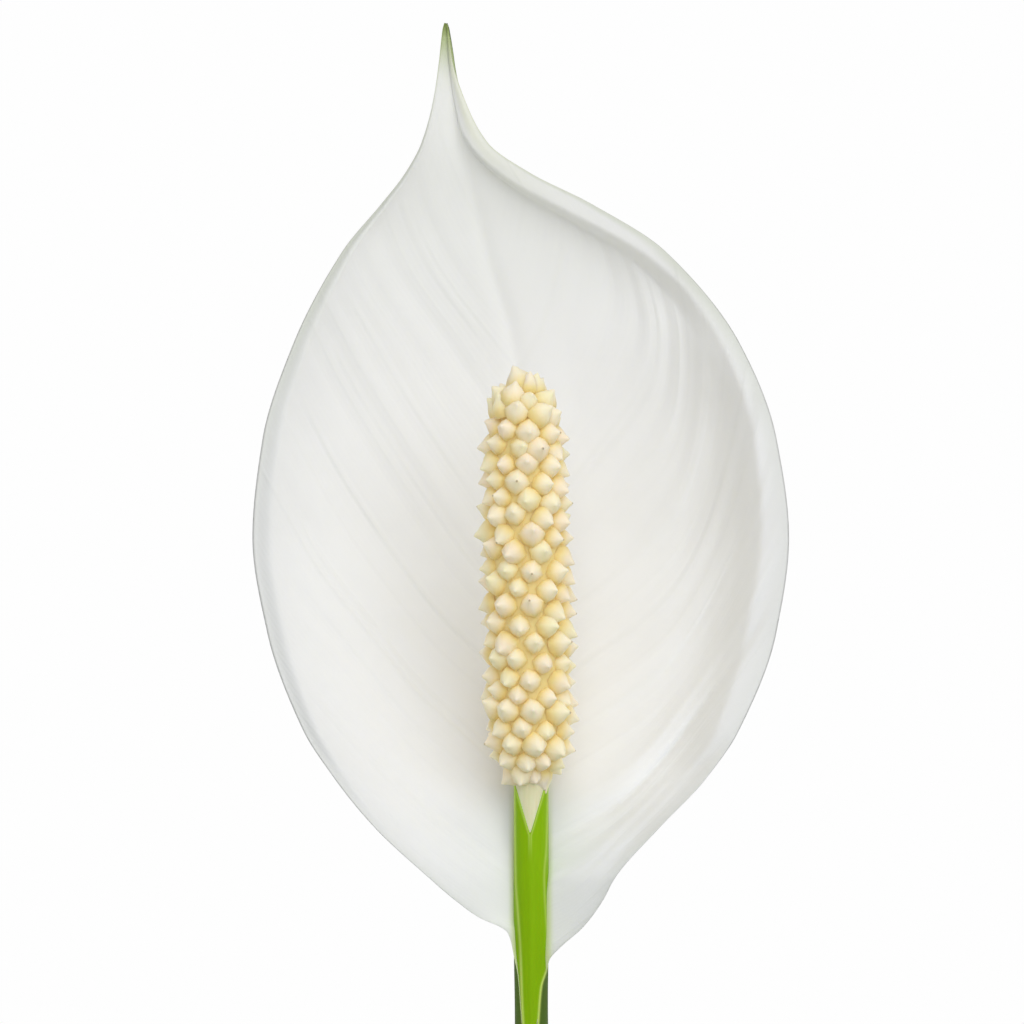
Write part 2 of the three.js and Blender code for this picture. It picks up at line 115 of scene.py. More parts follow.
class PotSettings(bpy.types.PropertyGroup):
    height: length("Height", "From the underside to the rim's top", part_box("pot")[1].z)
    base_radius: length("Base radius", "Of the underside's edge", 51 * MM)
    neck_radius: length("Neck radius", "Just below the rim band", 67 * MM)
    rim_radius: length("Rim radius", "At the top of the rim band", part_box("pot")[1].x)
    rim_height: length("Rim height", "Of the rim band", 27 * MM)
    rim_taper: length("Rim taper", "How much smaller the rim band's foot is in radius", 2 * MM)
    wall: length("Wall", "Thickness of the wall", 5.5 * MM)
    floor: length("Floor", "Thickness of the floor", 8 * MM)
    edge: length("Edge", "Rounding of the edges", 1.5 * MM)
    drain_radius: length("Drain radius", "Of each drain hole", 5.5 * MM)
    drain_circle: length("Drain circle", "Distance of the drain holes from the middle", 27 * MM)
    drain_holes: count("Drain holes", "Number of drain holes", 3)
    turns: count("Turns", "Steps round the pot", 144)
    clay: colour("Clay", "Fired clay", 186, 106, 72)
    clay_dark: colour("Dark clay", "Damp or darker fired clay", 150, 78, 50)
    bloom: colour("Salt bloom", "Pale salts that watering leaves", 216, 190, 168)


class MixSettings(bpy.types.PropertyGroup):
    top: length("Top", "Height of the surface by the pot's wall", 120 * MM)
    rise: length("Rise", "Of the middle above the top", 1.5 * MM)
    lumps: length("Lumps", "Height of the surface's lumps", 1.5 * MM)
    crumbs: count("Crumbs", "Number of peat crumbs", 1500)
    chips: count("Chips", "Number of bark chips", 300)
    perlite: count("Perlite", "Number of white perlite grains", 70)
    seed: count("Seed", "Starts the random order of the grains", 7)
    peat: colour("Peat", "Damp peat", 58, 42, 32)
    peat_light: colour("Light peat", "Drier peat", 92, 68, 50)
    bark: colour("Bark", "Bark chips", 112, 76, 50)
    white: colour("Perlite", "Perlite grains", 218, 212, 198)


class LeafSettings(bpy.types.PropertyGroup):
    spacing: length("Spacing", "A petiole stands at this times the root of its number plus one", 4.9 * MM)
    rooted: length("Rooted", "Depth of a petiole's foot below the crown's top", 6 * MM)
    base_radius: length("Petiole base", "Radius of a petiole at the crown", 3.1 * MM)
    end_radius: length("Petiole end", "Radius of a petiole at the blade", 1.9 * MM)
    thickness: length("Thickness", "Of the blade", 0.7 * MM)
    rib: length("Rib", "Height of the midrib under the blade's foot", 1.5 * MM)
    fold: share("Fold", "Rise of each half of the blade above its midrib", 0.24)
    ripple: length("Ripple", "Height of the waves along the margins", 2.2 * MM)
    quilt: length("Quilt", "Depth of the lateral veins", 0.45 * MM)
    veins: count("Veins", "Lateral veins on each side of the midrib", 19)
    columns: count("Columns", "Steps round a leaf's section", 96)
    rows: count("Rows", "Steps along a leaf", 150)
    dark: colour("Blade", "Upper side of an old blade", 30, 76, 24)
    young: colour("Young blade", "Upper side of a young blade", 72, 126, 38)
    under: colour("Underside", "Lower side of a blade", 92, 128, 66)
    vein: colour("Vein", "Midrib and lateral veins", 122, 158, 74)
    petiole: colour("Petiole", "Stalk of a leaf", 84, 128, 44)


class BloomSettings(bpy.types.PropertyGroup):
    base: length("Base", "Height at which the spathe meets the stalk", 470 * MM)
    stalk_radius: length("Stalk radius", "At the spathe", 2.4 * MM)
    stalk_top: length("Stalk top", "Above the base", 24.6 * MM)
    thickness: length("Spathe thickness", "In the middle", 0.62 * MM)
    keel: length("Spathe keel", "Height of the midrib behind", 0.7 * MM)
    columns: count("Columns", "Steps round the spathe's section", 288)
    rows: count("Rows", "Steps along the spathe", 250)
    florets: count("Florets", "Number of florets", 200)
    floret_radius: length("Floret radius", "At its widest", 1.70 * MM)
    floret_height: length("Floret height", "From the spike's surface to the tip", 3.0 * MM)
    stalk: colour("Stalk", "Front of the stalk under the bloom", 143, 190, 0)
    stalk_side: colour("Stalk side", "Sides of the stalk", 96, 124, 44)
    white: colour("Spathe", "Spathe", 247, 248, 247)
    green: colour("Spathe tip", "Tip and margins of the spathe", 148, 170, 60)
    cream: colour("Floret", "Most florets", 250, 238, 213)
    # Floret feet and core: a yellowish tone that also carries painted shade in the gaps between the florets.
    shaded_yellow: colour("Floret foot", "Gaps between the florets", 236, 214, 144)


class StudioSettings(bpy.types.PropertyGroup):
    lens: FloatProperty(name="Lens", description="Focal length in millimetres", default=200, min=10)
    field: length("Field", "Width that the camera sees at the bloom", 143.36 * MM)
    aim_x: length("Aim across", "Middle of the frame", -2.66 * MM)
    aim_y: length("Aim depth", "Depth at which the field is measured", 8 * MM)
    aim_z: length("Aim height", "Middle of the frame", 531.32 * MM)
    sky: level("Sky", "Strength of the light from all round", 0.515)
    key: level("Key light", "Power in watts", 11.6)
    fill: level("Fill light", "Power in watts", 0.5)
    floor_radius: length("Floor radius", "The floor fades away before its edge", 1.5)
    backdrop: colour("Backdrop", "What the camera sees behind the plant", 254, 254, 254)
    floor: colour("Floor", "Pale studio floor", 240, 240, 239)
    floor_glow: level("Floor glow", "Light that the floor gives off", 0.27)


class LilySettings(bpy.types.PropertyGroup):
    pot: PointerProperty(type=PotSettings)
    mix: PointerProperty(type=MixSettings)
    leaf: PointerProperty(type=LeafSettings)
    bloom: PointerProperty(type=BloomSettings)
    studio: PointerProperty(type=StudioSettings)


# ---- Arithmetic and directions ----


def mix(a, b, t):
    return a + (b - a) * t


def clamp(value, low=0.0, high=1.0):
    return max(low, min(high, value))


def smoothstep(value, low, high):
    t = clamp((value - low) / (high - low))
    return t * t * (3 - 2 * t)


def bell(value, width):
    """1 at zero, falling smoothly to nothing past about twice the width."""
    return math.exp(-((value / width) ** 2))


def crowded(even, strength):
    """Moves even steps from -1 to 1 closer together at the middle and at both ends."""
    return even - strength * math.sin(2 * math.pi * even) / (2 * math.pi)


def edge_share(across):
    """How much of its thickness a sheet keeps towards its margins."""
    return math.sqrt(max(0.0, 1 - abs(across) ** 6))


def lumps(point, *layers):
    """The sum of some noises at a point, each given by its scale and its height."""
    return sum(height * noise.noise(point * scale) for scale, height in layers)


def upward(height):
    return Vector((0, 0, height))


def outward(angle):
    """The level direction at an angle round the Z axis."""
    return Vector((math.cos(angle), math.sin(angle), 0))


def tipped(about_x, about_y):
    return Matrix.Rotation(about_x, 4, "X") @ Matrix.Rotation(about_y, 4, "Y")


def through(pairs):
    """A smooth function through (position, value) pairs that never overshoots them."""
    slopes = [(v1 - v0) / (p1 - p0) for (p0, v0), (p1, v1) in zip(pairs, pairs[1:])]
    tangents = [slopes[0]]
    for a, b in zip(slopes, slopes[1:]):
        tangents.append(0 if a * b <= 0 else 2 * a * b / (a + b))
    tangents.append(slopes[-1])

    def value_at(position):
        i = 0
        while i < len(pairs) - 2 and position > pairs[i + 1][0]:
            i += 1
        (p0, v0), (p1, v1) = pairs[i], pairs[i + 1]
        t = clamp((position - p0) / (p1 - p0))
        eased = v0 + (v1 - v0) * t * t * (3 - 2 * t)
        return eased + (p1 - p0) * (tangents[i] * t * (1 - t) ** 2 - tangents[i + 1] * t * t * (1 - t))

    return value_at


# ---- Making a piece ----


def add_object(name, bm, *materials):
    """Turns a bmesh into an object in the scene."""
    mesh = bpy.data.meshes.new(name)
    bm.to_mesh(mesh)
    bm.free()
    for material in materials:
        mesh.materials.append(material)
    made = bpy.data.objects.new(name, mesh)
    bpy.context.scene.collection.objects.link(made)
    return made


def finish_piece(name, bm, material, replaces=(), smooth=True):
    """Turns a bmesh into a piece that rides on the plant's one body."""
    for face in bm.faces:
        face.smooth = smooth
    piece = add_object(name, bm, material)
    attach(piece, BODY)
    if replaces:
        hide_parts(*replaces)
    return piece


def skin_round(bm, columns, rows, place, marks=()):
    """Wraps a grid round a section and along a piece, welds its seam and closes its ends.

    place(across, side, along) gives a point and the values of the marks. across runs from -1 to 1 on the
    front, side 1, and back again behind, side -1. along runs from 0 to 1.
    """
    layers = [bm.verts.layers.float.new(mark) for mark in marks]
    made = bmesh.ops.create_grid(bm, x_segments=columns, y_segments=rows, size=1)["verts"]
    for vert in made:
        turn = (vert.co.x + 1) / 2
        side = 1 if turn < 0.5 else -1
        across = 4 * turn - 1 if side > 0 else 3 - 4 * turn
        vert.co, values = place(across, side, (vert.co.y + 1) / 2)
        for layer, value in zip(layers, values):
            vert[layer] = value
    bmesh.ops.remove_doubles(bm, verts=made, dist=WELD)
    rims = [edge for edge in bm.edges if edge.is_boundary]
    bmesh.ops.holes_fill(bm, edges=rims, sides=0)
    bmesh.ops.recalc_face_normals(bm, faces=bm.faces)


def spin(bm, outline, steps):
    """Turns an outline of (radius, height) points round the Z axis."""
    verts = [bm.verts.new((radius, 0, height)) for radius, height in outline]
    edges = [bm.edges.new(pair) for pair in zip(verts, verts[1:])]
    whole = {"cent": (0, 0, 0), "axis": (0, 0, 1), "angle": 2 * math.pi, "use_merge": True}
    bmesh.ops.spin(bm, geom=verts + edges, steps=steps, **whole)


def turned(bm, outline, turns):
    """Turns an outline and welds the points on the axis to poles."""
    spin(bm, outline, turns)
    bmesh.ops.remove_doubles(bm, verts=bm.verts, dist=WELD)
    bmesh.ops.recalc_face_normals(bm, faces=bm.faces)


def rounded(points, radius, steps=5):
    """An outline with each inner corner replaced by a curve that starts and ends radius from the corner."""
    made = [points[0]]
    for before, corner, after in zip(points, points[1:], points[2:]):
        corner = Vector(corner)
        back = Vector(before) - corner
        ahead = Vector(after) - corner
        reach = min(radius, 0.45 * back.length, 0.45 * ahead.length)
        start = corner + back.normalized() * reach
        end = corner + ahead.normalized() * reach
        for i in range(steps + 1):
            t = i / steps
            made.append(tuple(start * (1 - t) ** 2 + corner * 2 * t * (1 - t) + end * t * t))
    made.append(points[-1])
    return made


# ---- Shader graphs ----


class Graph:
    """Adds nodes to a tree and wires them. Each input is a socket to join or a value to set."""

    def __init__(self, tree):
        self.tree = tree

    def add(self, kind, inputs=None, **settings):
        node = self.tree.nodes.new(kind)
        node.location = (180 * len(self.tree.nodes), 0)
        for key, value in settings.items():
            setattr(node, key, value)
        for key, value in (inputs or {}).items():
            self.join(value, node.inputs[key])
        return node

    def join(self, value, socket):
        if isinstance(value, bpy.types.NodeSocket):
            self.tree.links.new(value, socket)
        elif socket.type == "RGBA" and len(value) == 3:
            socket.default_value = (*value, 1)
        else:
            socket.default_value = value

    def math(self, operation, *values):
        return self.add("ShaderNodeMath", dict(enumerate(values)), operation=operation).outputs[0]

    def times(self, first, *others):
        for value in others:
            first = self.math("MULTIPLY", first, value)
        return first

    def plus(self, first, second):
        return self.math("ADD", first, second)

    def distance(self, first, second):
        return self.math("ABSOLUTE", self.math("SUBTRACT", first, second))

    def off_line(self, steps):
        """How far a count of lines is from the nearest line. The lines are at 0.5, 1.5 and so on."""
        return self.distance(self.math("FRACT", steps), 0.5)

    def blend(self, factor, a, b, mode="MIX"):
        inputs = {0: factor, 6: a, 7: b}
        return self.add("ShaderNodeMix", inputs, data_type="RGBA", blend_type=mode).outputs[2]

    def tinted(self, colour, *layers):
        """The colour with each (mask, tint) laid over it in turn."""
        for mask, tint in layers:
            colour = self.blend(mask, colour, tint)
        return colour

    def span(self, value, low, high, to_low=0.0, to_high=1.0):
        """A smooth step of value from low to high, scaled to run from to_low to to_high."""
        inputs = {"Value": value, "From Min": low, "From Max": high, "To Min": to_low, "To Max": to_high}
        return self.add("ShaderNodeMapRange", inputs, interpolation_type="SMOOTHSTEP").outputs[0]

    def noise(self, vector, scale, detail=3.0, roughness=0.55):
        inputs = {"Vector": vector, "Scale": scale, "Detail": detail, "Roughness": roughness}
        return self.add("ShaderNodeTexNoise", inputs).outputs["Fac"]

    def attribute(self, name):
        return self.add("ShaderNodeAttribute", attribute_name=name).outputs["Fac"]

    def place(self):
        return self.add("ShaderNodeTexCoord").outputs["Object"]

    def stretched(self, vector, x, y, z):
        return self.add("ShaderNodeMapping", {"Vector": vector, "Scale": (x, y, z)}).outputs[0]

    def use(self, group, **inputs):
        return self.add("ShaderNodeGroup", inputs, node_tree=group).outputs[0]


class Finish(Graph):
    """The graph of a material with one Principled shader, whose constant inputs are set by name."""

    def __init__(self, name, **constants):
        self.material = bpy.data.materials.new(name)
        self.material.use_nodes = True
        super().__init__(self.material.node_tree)
        self.shader = self.tree.nodes["Principled BSDF"]
        for key, value in constants.items():
            self.shader.inputs[key.replace("_", " ")].default_value = value

    def done(self, colour, relief, depth, roughness=None):
        """Joins what varies over the piece, with the relief scaled to a depth, and gives the material."""
        bump = self.add("ShaderNodeBump", {"Height": relief, "Distance": depth}).outputs["Normal"]
        self.join(colour, self.shader.inputs["Base Color"])
        self.join(bump, self.shader.inputs["Normal"])
        if roughness is not None:
            self.join(roughness, self.shader.inputs["Roughness"])
        return self.material


def effect(name, inputs, output, build):
    """A node group, built once. inputs are (name, socket type, default), and build wires the graph."""
    if name in bpy.data.node_groups:
        return bpy.data.node_groups[name]
    tree = bpy.data.node_groups.new(name, "ShaderNodeTree")
    for label, kind, default in inputs:
        socket = tree.interface.new_socket(label, in_out="INPUT", socket_type=kind)
        if default is not None:
            socket.default_value = default
    tree.interface.new_socket(output[0], in_out="OUTPUT", socket_type=output[1])
    graph = Graph(tree)
    sockets = graph.add("NodeGroupInput").outputs
    graph.add("NodeGroupOutput", {output[0]: build(graph, sockets)})
    return tree


def mottle():
    """A colour that drifts towards a second one in soft patches."""

    def build(graph, sockets):
        broad = graph.noise(sockets["Vector"], sockets["Scale"], 2.0)
        fine = graph.noise(sockets["Vector"], graph.times(sockets["Scale"], 5.3), 4.0)
        spread = graph.span(graph.plus(graph.times(broad, 0.65), graph.times(fine, 0.35)), 0.36, 0.64)
        return graph.blend(graph.times(spread, sockets["Amount"]), sockets["Colour"], sockets["Other"])

    inputs = (
        ("Vector", "NodeSocketVector", None),
        ("Scale", "NodeSocketFloat", 40.0),
        ("Amount", "NodeSocketFloat", 0.5),
        ("Colour", "NodeSocketColor", None),
        ("Other", "NodeSocketColor", None),
    )
    return effect("Mottle", inputs, ("Colour", "NodeSocketColor"), build)


def lateral_veins():
    """Lines that leave a midrib on both sides and sweep forward. Across is -1 to 1, along 0 to 1."""

    def build(graph, sockets):
        out = graph.math("ABSOLUTE", sockets["Across"])
        forward = graph.plus(graph.times(out, sockets["Lean"]), graph.times(out, out, sockets["Sweep"]))
        start = graph.math("SUBTRACT", sockets["Along"], forward)
        away = graph.off_line(graph.times(start, sockets["Count"]))
        return graph.span(away, 0.0, sockets["Width"], 1.0, 0.0)

    inputs = (
        ("Across", "NodeSocketFloat", 0.0),
        ("Along", "NodeSocketFloat", 0.0),
        ("Count", "NodeSocketFloat", 20.0),
        ("Lean", "NodeSocketFloat", VEIN_LEAN),
        ("Sweep", "NodeSocketFloat", VEIN_SWEEP),
        ("Width", "NodeSocketFloat", 0.2),
    )
    return effect("Lateral Veins", inputs, ("Mask", "NodeSocketFloat"), build)


def grain():
    """Fine relief: a coarse and a fine noise, added up as a height."""

    def build(graph, sockets):
        coarse = graph.noise(sockets["Vector"], sockets["Scale"], 3.0)
        fine = graph.noise(sockets["Vector"], graph.times(sockets["Scale"], 4.0), 2.0)
        return graph.plus(coarse, graph.times(fine, sockets["Fine"]))

    inputs = (
        ("Vector", "NodeSocketVector", None),
        ("Scale", "NodeSocketFloat", 500.0),
        ("Fine", "NodeSocketFloat", 0.4),
    )
    return effect("Grain", inputs, ("Height", "NodeSocketFloat"), build)


def mottled(graph, place, scale, amount, colour, other):
    return graph.use(mottle(), Vector=place, Scale=scale, Amount=amount, Colour=colour, Other=other)


def grained(graph, place, scale, fine):
    return graph.use(grain(), Vector=place, Scale=scale, Fine=fine)


# ---- Materials ----


def clay_material(pot):
    """Fired clay with turning marks and dark specks, and salts at the foot and under the rim."""
    graph = Finish("fired_clay", Specular_IOR_Level=0.3)
    place = graph.place()
    height = graph.add("ShaderNodeSeparateXYZ", {"Vector": place}).outputs["Z"]
    low = graph.span(height, 0.0, 50 * MM, 1.0, 0.0)
    under_rim = graph.span(height, 80 * MM, 109 * MM, 0.0, 0.45)
    salt = graph.span(graph.noise(place, 62.0, 6.0, 0.65), 0.46, 0.68)
    colour = graph.tinted(
        mottled(graph, place, 38.0, 0.55, pot.clay, pot.clay_dark),
        (graph.times(graph.math("MAXIMUM", low, under_rim), salt, 0.75), pot.bloom),
        (graph.span(graph.noise(place, 900.0, 1.0), 0.66, 0.74, 0.0, 0.4), srgb(92, 52, 36)),
    )
    turning = graph.noise(graph.stretched(place, 0.15, 0.15, 6.0), 90.0)
    relief = graph.plus(graph.times(turning, 1.4), graph.times(grained(graph, place, 700.0, 0.6), 0.5))
    return graph.done(colour, relief, 0.35 * MM, graph.span(salt, 0.0, 1.0, 0.78, 0.93))


def crumb_material(name, scale, colour, other, roughness=0.95, relief=0.5 * MM):
    """Peat, bark, perlite or dry skin: two mottled colours with a rough relief."""
    graph = Finish(name, Roughness=roughness, Specular_IOR_Level=0.25)
    place = graph.place()
    patches = mottled(graph, place, scale, 0.9, colour, other)
    return graph.done(patches, grained(graph, place, 900.0, 0.7), relief)


def leaf_material(leaf):
    """Glossy blade above, paler below, with lit veins. The marks say where on the leaf a point is."""
    graph = Finish(
        "leaf_green",
        Specular_IOR_Level=0.5,
        Coat_Weight=0.3,
        Coat_Roughness=0.2,
        Subsurface_Weight=0.06,
        Subsurface_Scale=0.002,
    )
    place = graph.place()
    across, along, upper, rib = map(graph.attribute, ("across", "along", "upper", "rib"))
    blade = graph.blend(graph.attribute("age"), leaf.young, leaf.dark)
    darker = graph.blend(1.0, blade, (0.55, 0.6, 0.5), "MULTIPLY")

    def veins(count, width):
        return graph.use(lateral_veins(), Across=across, Along=along, Count=count, Width=width)

    main_veins = veins(float(leaf.veins), 0.17)
    fine_veins = veins(leaf.veins * 5.0, 0.3)
    inside = graph.span(graph.math("ABSOLUTE", across), 0.78, 0.97, 0.24, 0.0)
    above = graph.tinted(
        mottled(graph, place, 26.0, 0.5, blade, darker),
        (graph.plus(graph.times(main_veins, inside), graph.times(fine_veins, 0.07)), leaf.vein),
        (graph.times(rib, 0.75), leaf.vein),
    )
    below = graph.tinted(leaf.under, (graph.times(main_veins, 0.35), leaf.vein), (rib, srgb(150, 180, 104)))
    along_stem = graph.stretched(place, 1.0, 1.0, 0.25)
    colour = graph.tinted(
        mottled(graph, along_stem, 120.0, 0.5, leaf.petiole, srgb(62, 104, 34)),
        (graph.attribute("knee"), srgb(132, 160, 78)),
        (graph.attribute("sheath"), srgb(150, 164, 92)),
        (graph.span(along, -0.004, 0.03), graph.blend(upper, below, above)),
    )
    gloss = graph.span(graph.noise(place, 210.0), 0.3, 0.7, 0.24, 0.36)
    roughness = graph.add("ShaderNodeMix", {0: upper, 2: 0.6, 3: gloss}, data_type="FLOAT").outputs[0]
    cells = graph.times(grained(graph, place, 1500.0, 0.5), 0.35)
    return graph.done(colour, graph.plus(graph.times(fine_veins, -0.6), cells), 0.09 * MM, roughness)


def stalk_material(bloom):
    """Bright front panel between the spathe's margins, darker sides, and pale ridges: pale margin tissue
    below the bloom's base, painted highlight lines above it.
    """
    graph = Finish("stalk_green", Specular_IOR_Level=0.12, Subsurface_Weight=0.1, Subsurface_Scale=0.001)
    place = graph.place()
    streaks = graph.stretched(place, 1.0, 1.0, 0.05)
    front = mottled(graph, streaks, 1100.0, 0.35, bloom.stalk, srgb(130, 176, 0))
    colour = graph.tinted(
        mottled(graph, streaks, 900.0, 0.5, bloom.stalk_side, srgb(70, 96, 38)),
        (graph.attribute("panel"), front),
        # Pale ridges: margin tissue below the bloom's base, painted highlight lines above it.
        (graph.attribute("ridge_and_highlight"), srgb(210, 234, 116)),
    )
    roughness = graph.span(graph.noise(place, 700.0), 0.3, 0.7, 0.32, 0.46)
    return graph.done(colour, grained(graph, streaks, 2400.0, 0.5), 0.05 * MM, roughness)


# Left and right of the midrib, where the deepest creases run, in vein steps, and how deep each is.
CREASES = {
    -1: ((-2.3, 0.5), (1.5, 0.6), (1.87, 1.0), (4.57, 1.0), (6.93, 0.8), (8.55, 0.6), (12.2, 0.9)),
    1: ((-1.2, 0.6), (2.7, 0.7), (4.58, 0.9), (6.4, 0.5), (8.1, 0.7), (9.2, 0.8)),
}


def crease_mask(graph, vein, across):
    """Thin lines along the deepest creases, between the midrib and each margin, fainter in places. The spathe
    sinks them in its relief and darkens them as painted shade.
    """
    total = 0.0
    for side, places in CREASES.items():
        out = graph.times(across, side)
        lines = 0.0
        for step, depth in places:
            lines = graph.plus(lines, graph.span(graph.distance(vein, step), 0.0, 0.2, depth, 0.0))
        within = graph.times(graph.span(out, 0.08, 0.3), graph.span(out, 0.75, 0.9, 1.0, 0.0))
        total = graph.plus(total, graph.times(lines, within))
    return graph.times(total, graph.span(graph.noise(graph.place(), 110.0, 1.0), 0.32, 0.6, 0.35, 1.0))


def spathe_material(bloom):
    """Satin white with faint veins and painted shade in the deepest creases, green at the tip, margins and
    foot and on the midrib behind.
    """
    graph = Finish(
        "spathe_white",
        Specular_IOR_Level=0.3,
        Subsurface_Weight=0.4,
        Subsurface_Radius=(1.0, 1.0, 0.85),
        Subsurface_Scale=0.0015,
        Sheen_Weight=0.05,
    )
    place = graph.place()
    across, height, vein, foot, rib = map(
        graph.attribute, ("across", "height", "vein_phase", "foot", "rib")
    )
    vein_place = graph.add("ShaderNodeCombineXYZ", {"X": vein, "Y": across}).outputs[0]
    chosen = graph.span(graph.noise(vein_place, 0.9, 2.0), 0.46, 0.62)
    lines = graph.times(graph.span(graph.off_line(vein), 0.0, 0.16, 1.0, 0.0), chosen)
    creases = crease_mask(graph, vein, across)
    rim = graph.span(graph.math("ABSOLUTE", across), 0.9, 0.995)
    tip = graph.math("POWER", graph.span(height, 118 * MM, 130 * MM), 2.2)
    over_lip = graph.times(
        graph.span(across, 0.25, 0.7), graph.span(height, 102 * MM, 118 * MM, 0.0, 0.24)
    )
    colour = graph.tinted(
        mottled(graph, place, 60.0, 0.5, bloom.white, srgb(244, 245, 243)),
        # Faint grey vein lines, and painted shade darkening the deepest creases.
        (graph.plus(graph.times(lines, 0.08), graph.times(creases, 0.12)), srgb(226, 228, 222)),
        (graph.times(rim, graph.span(height, 55 * MM, 112 * MM, 0.04, 0.34)), bloom.green),
        (graph.span(height, 70 * MM, 118 * MM, 0.0, 0.14), srgb(232, 234, 208)),
        (over_lip, srgb(204, 210, 138)),
        (graph.times(tip, 0.8), bloom.green),
        (graph.span(height, 128 * MM, 130.4 * MM, 0.0, 0.75), srgb(98, 116, 34)),
        (foot, srgb(206, 222, 140)),
        (graph.times(rib, graph.span(height, 0.0, 120 * MM, 0.85, 0.45)), srgb(178, 202, 112)),
    )
    fine_lines = graph.span(graph.off_line(graph.times(vein, 5.0)), 0.0, 0.5, -0.12, 0.0)
    relief = graph.plus(fine_lines, graph.times(grained(graph, place, 1800.0, 0.5), 0.2))
    relief = graph.plus(relief, graph.plus(graph.times(lines, -0.5), graph.times(creases, -1.9)))
    roughness = graph.span(graph.noise(place, 260.0), 0.3, 0.7, 0.42, 0.52)
    return graph.done(colour, relief, 0.05 * MM, roughness)


def spadix_material(bloom):
    """Cream florets over yellowish gaps darkened as painted shade, each with its own tone, small dark stigmas
    and a faint painted glow.
    """
    graph = Finish(
        "floret_cream",
        Specular_IOR_Level=0.35,
        Subsurface_Weight=0.45,
        Subsurface_Radius=(1.0, 0.8, 0.5),
        Subsurface_Scale=0.0014,
        Roughness=0.5,
        # Painted light: a faint warm glow that stands in for light shining through and bouncing between the
        # florets.
        Emission_Color=(*srgb(255, 230, 174), 1),
        Emission_Strength=0.08,
    )
    place = graph.place()
    tone = graph.attribute("tone")
    warm = graph.blend(graph.span(tone, 0.0, 0.5), srgb(250, 233, 212), bloom.cream)
    own = graph.blend(graph.span(tone, 0.6, 1.0), warm, srgb(246, 238, 202))
    colour = graph.tinted(
        # The florets' feet and the core between them take this colour: a yellowish tone with painted shade.
        bloom.shaded_yellow,
        (graph.span(graph.attribute("rise"), 0.2, 0.75), own),
        (graph.times(graph.noise(place, 1500.0), 0.12), srgb(240, 230, 176)),
        (graph.attribute("stigma"), srgb(112, 92, 50)),
    )
    return graph.done(colour, grained(graph, place, 2500.0, 0.5), 0.05 * MM)


def stipe_material():
    """Pale cream with faint streaks along the bare stalk of the spike."""
    graph = Finish("stipe_cream", Roughness=0.45, Subsurface_Weight=0.25, Subsurface_Scale=0.0012)
    place = graph.stretched(graph.place(), 1.0, 1.0, 0.08)
    colour = mottled(graph, place, 1200.0, 0.6, srgb(240, 236, 200), srgb(226, 222, 176))
    return graph.done(colour, graph.noise(place, 1800.0), 0.04 * MM)


def floor_material(studio):
    """Pale and matt, fading to nothing before its edge."""
    tint = (*studio.floor, 1)
    graph = Finish(
        "pale_floor",
        Roughness=0.9,
        Specular_IOR_Level=0.1,
        Base_Color=tint,
        Emission_Color=tint,
        Emission_Strength=studio.floor_glow,
    )
    away = graph.add("ShaderNodeVectorMath", {0: graph.place()}, operation="LENGTH").outputs["Value"]
    near = graph.span(away, 0.1 * studio.floor_radius, 0.75 * studio.floor_radius, 1.0, 0.0)
    graph.join(near, graph.shader.inputs["Alpha"])
    return graph.material


# ---- Pot ----


def floor_edge(pot):
    """Radius of the pot's inner wall at its floor."""
    return pot.base_radius - pot.wall + 1 * MM


def pot_outline(pot):
    """Outline of the pot's section from the middle of its underside round to the middle of its floor."""
    rim_foot = pot.height - pot.rim_height
    corners = [
        (0, 0),
        (pot.base_radius, 0),
        (pot.neck_radius, rim_foot - 0.2 * MM),
        (pot.rim_radius - pot.rim_taper, rim_foot),
        (pot.rim_radius, pot.height),
        (pot.rim_radius - pot.wall, pot.height),
        (pot.neck_radius - pot.wall, rim_foot - pot.edge),
        (floor_edge(pot), pot.floor),
        (0, pot.floor),
    ]
    return rounded(corners, 1.6 * pot.edge)


def split_long(points, longest):
    """The same outline with points added so that no step is longer than longest."""
    made = [points[0]]
    for start, end in zip(points, points[1:]):
        steps = max(1, math.ceil((Vector(end) - Vector(start)).length / longest))
        made += [tuple(Vector(start).lerp(Vector(end), i / steps)) for i in range(1, steps + 1)]
    return made


def build_pot(pot):
    """The turned pot, a little uneven outside the flat middle of its floor, with its drain holes."""
    bm = bmesh.new()
    turned(bm, split_long(pot_outline(pot), 4 * MM), pot.turns)
    flat = 0.6 * pot.base_radius
    for vert in bm.verts:
        radius = math.hypot(vert.co.x, vert.co.y)
        if radius > flat:
            wander = lumps(vert.co, (22, 0.25 * MM), (90, 0.07 * MM))
            vert.co.x *= 1 + wander / radius
            vert.co.y *= 1 + wander / radius
    piece = finish_piece("clay_pot", bm, clay_material(pot), ["pot"])
    drill(piece, pot)


def drill(piece, pot):
    """Cuts the drain holes through the floor of the pot."""
    bm = bmesh.new()
    size = {"radius1": pot.drain_radius, "radius2": pot.drain_radius, "depth": 4 * pot.floor}
    for i in range(pot.drain_holes):
        middle = outward((i + 0.25) / pot.drain_holes * 2 * math.pi) * pot.drain_circle
        bmesh.ops.create_cone(bm, cap_ends=True, segments=36, matrix=Matrix.Translation(middle), **size)
    cutter = add_object("drill", bm)
    cut = piece.modifiers.new("drain_holes", "BOOLEAN")
    cut.operation = "DIFFERENCE"
    cut.solver = "EXACT"
    cut.object = cutter
    whole = piece.data
    graph = bpy.context.evaluated_depsgraph_get()
    piece.data = bpy.data.meshes.new_from_object(piece.evaluated_get(graph))
    piece.modifiers.clear()
    solid = cutter.data
    bpy.data.objects.remove(cutter)
    for mesh in (whole, solid):
        bpy.data.meshes.remove(mesh)


# ---- Potting mix ----

# Rings of points on the mix's surface, and points in each.
MIX_RINGS = 60
MIX_TURNS = 170


def inner_radius(pot, height):
    """Radius of the pot's inner wall at a height."""
    neck = pot.height - pot.rim_height - pot.edge
    if height < neck:
        return mix(floor_edge(pot), pot.neck_radius - pot.wall, (height - pot.floor) / (neck - pot.floor))
    return mix(pot.neck_radius, pot.rim_radius, (height - neck) / (pot.height - neck)) - pot.wall


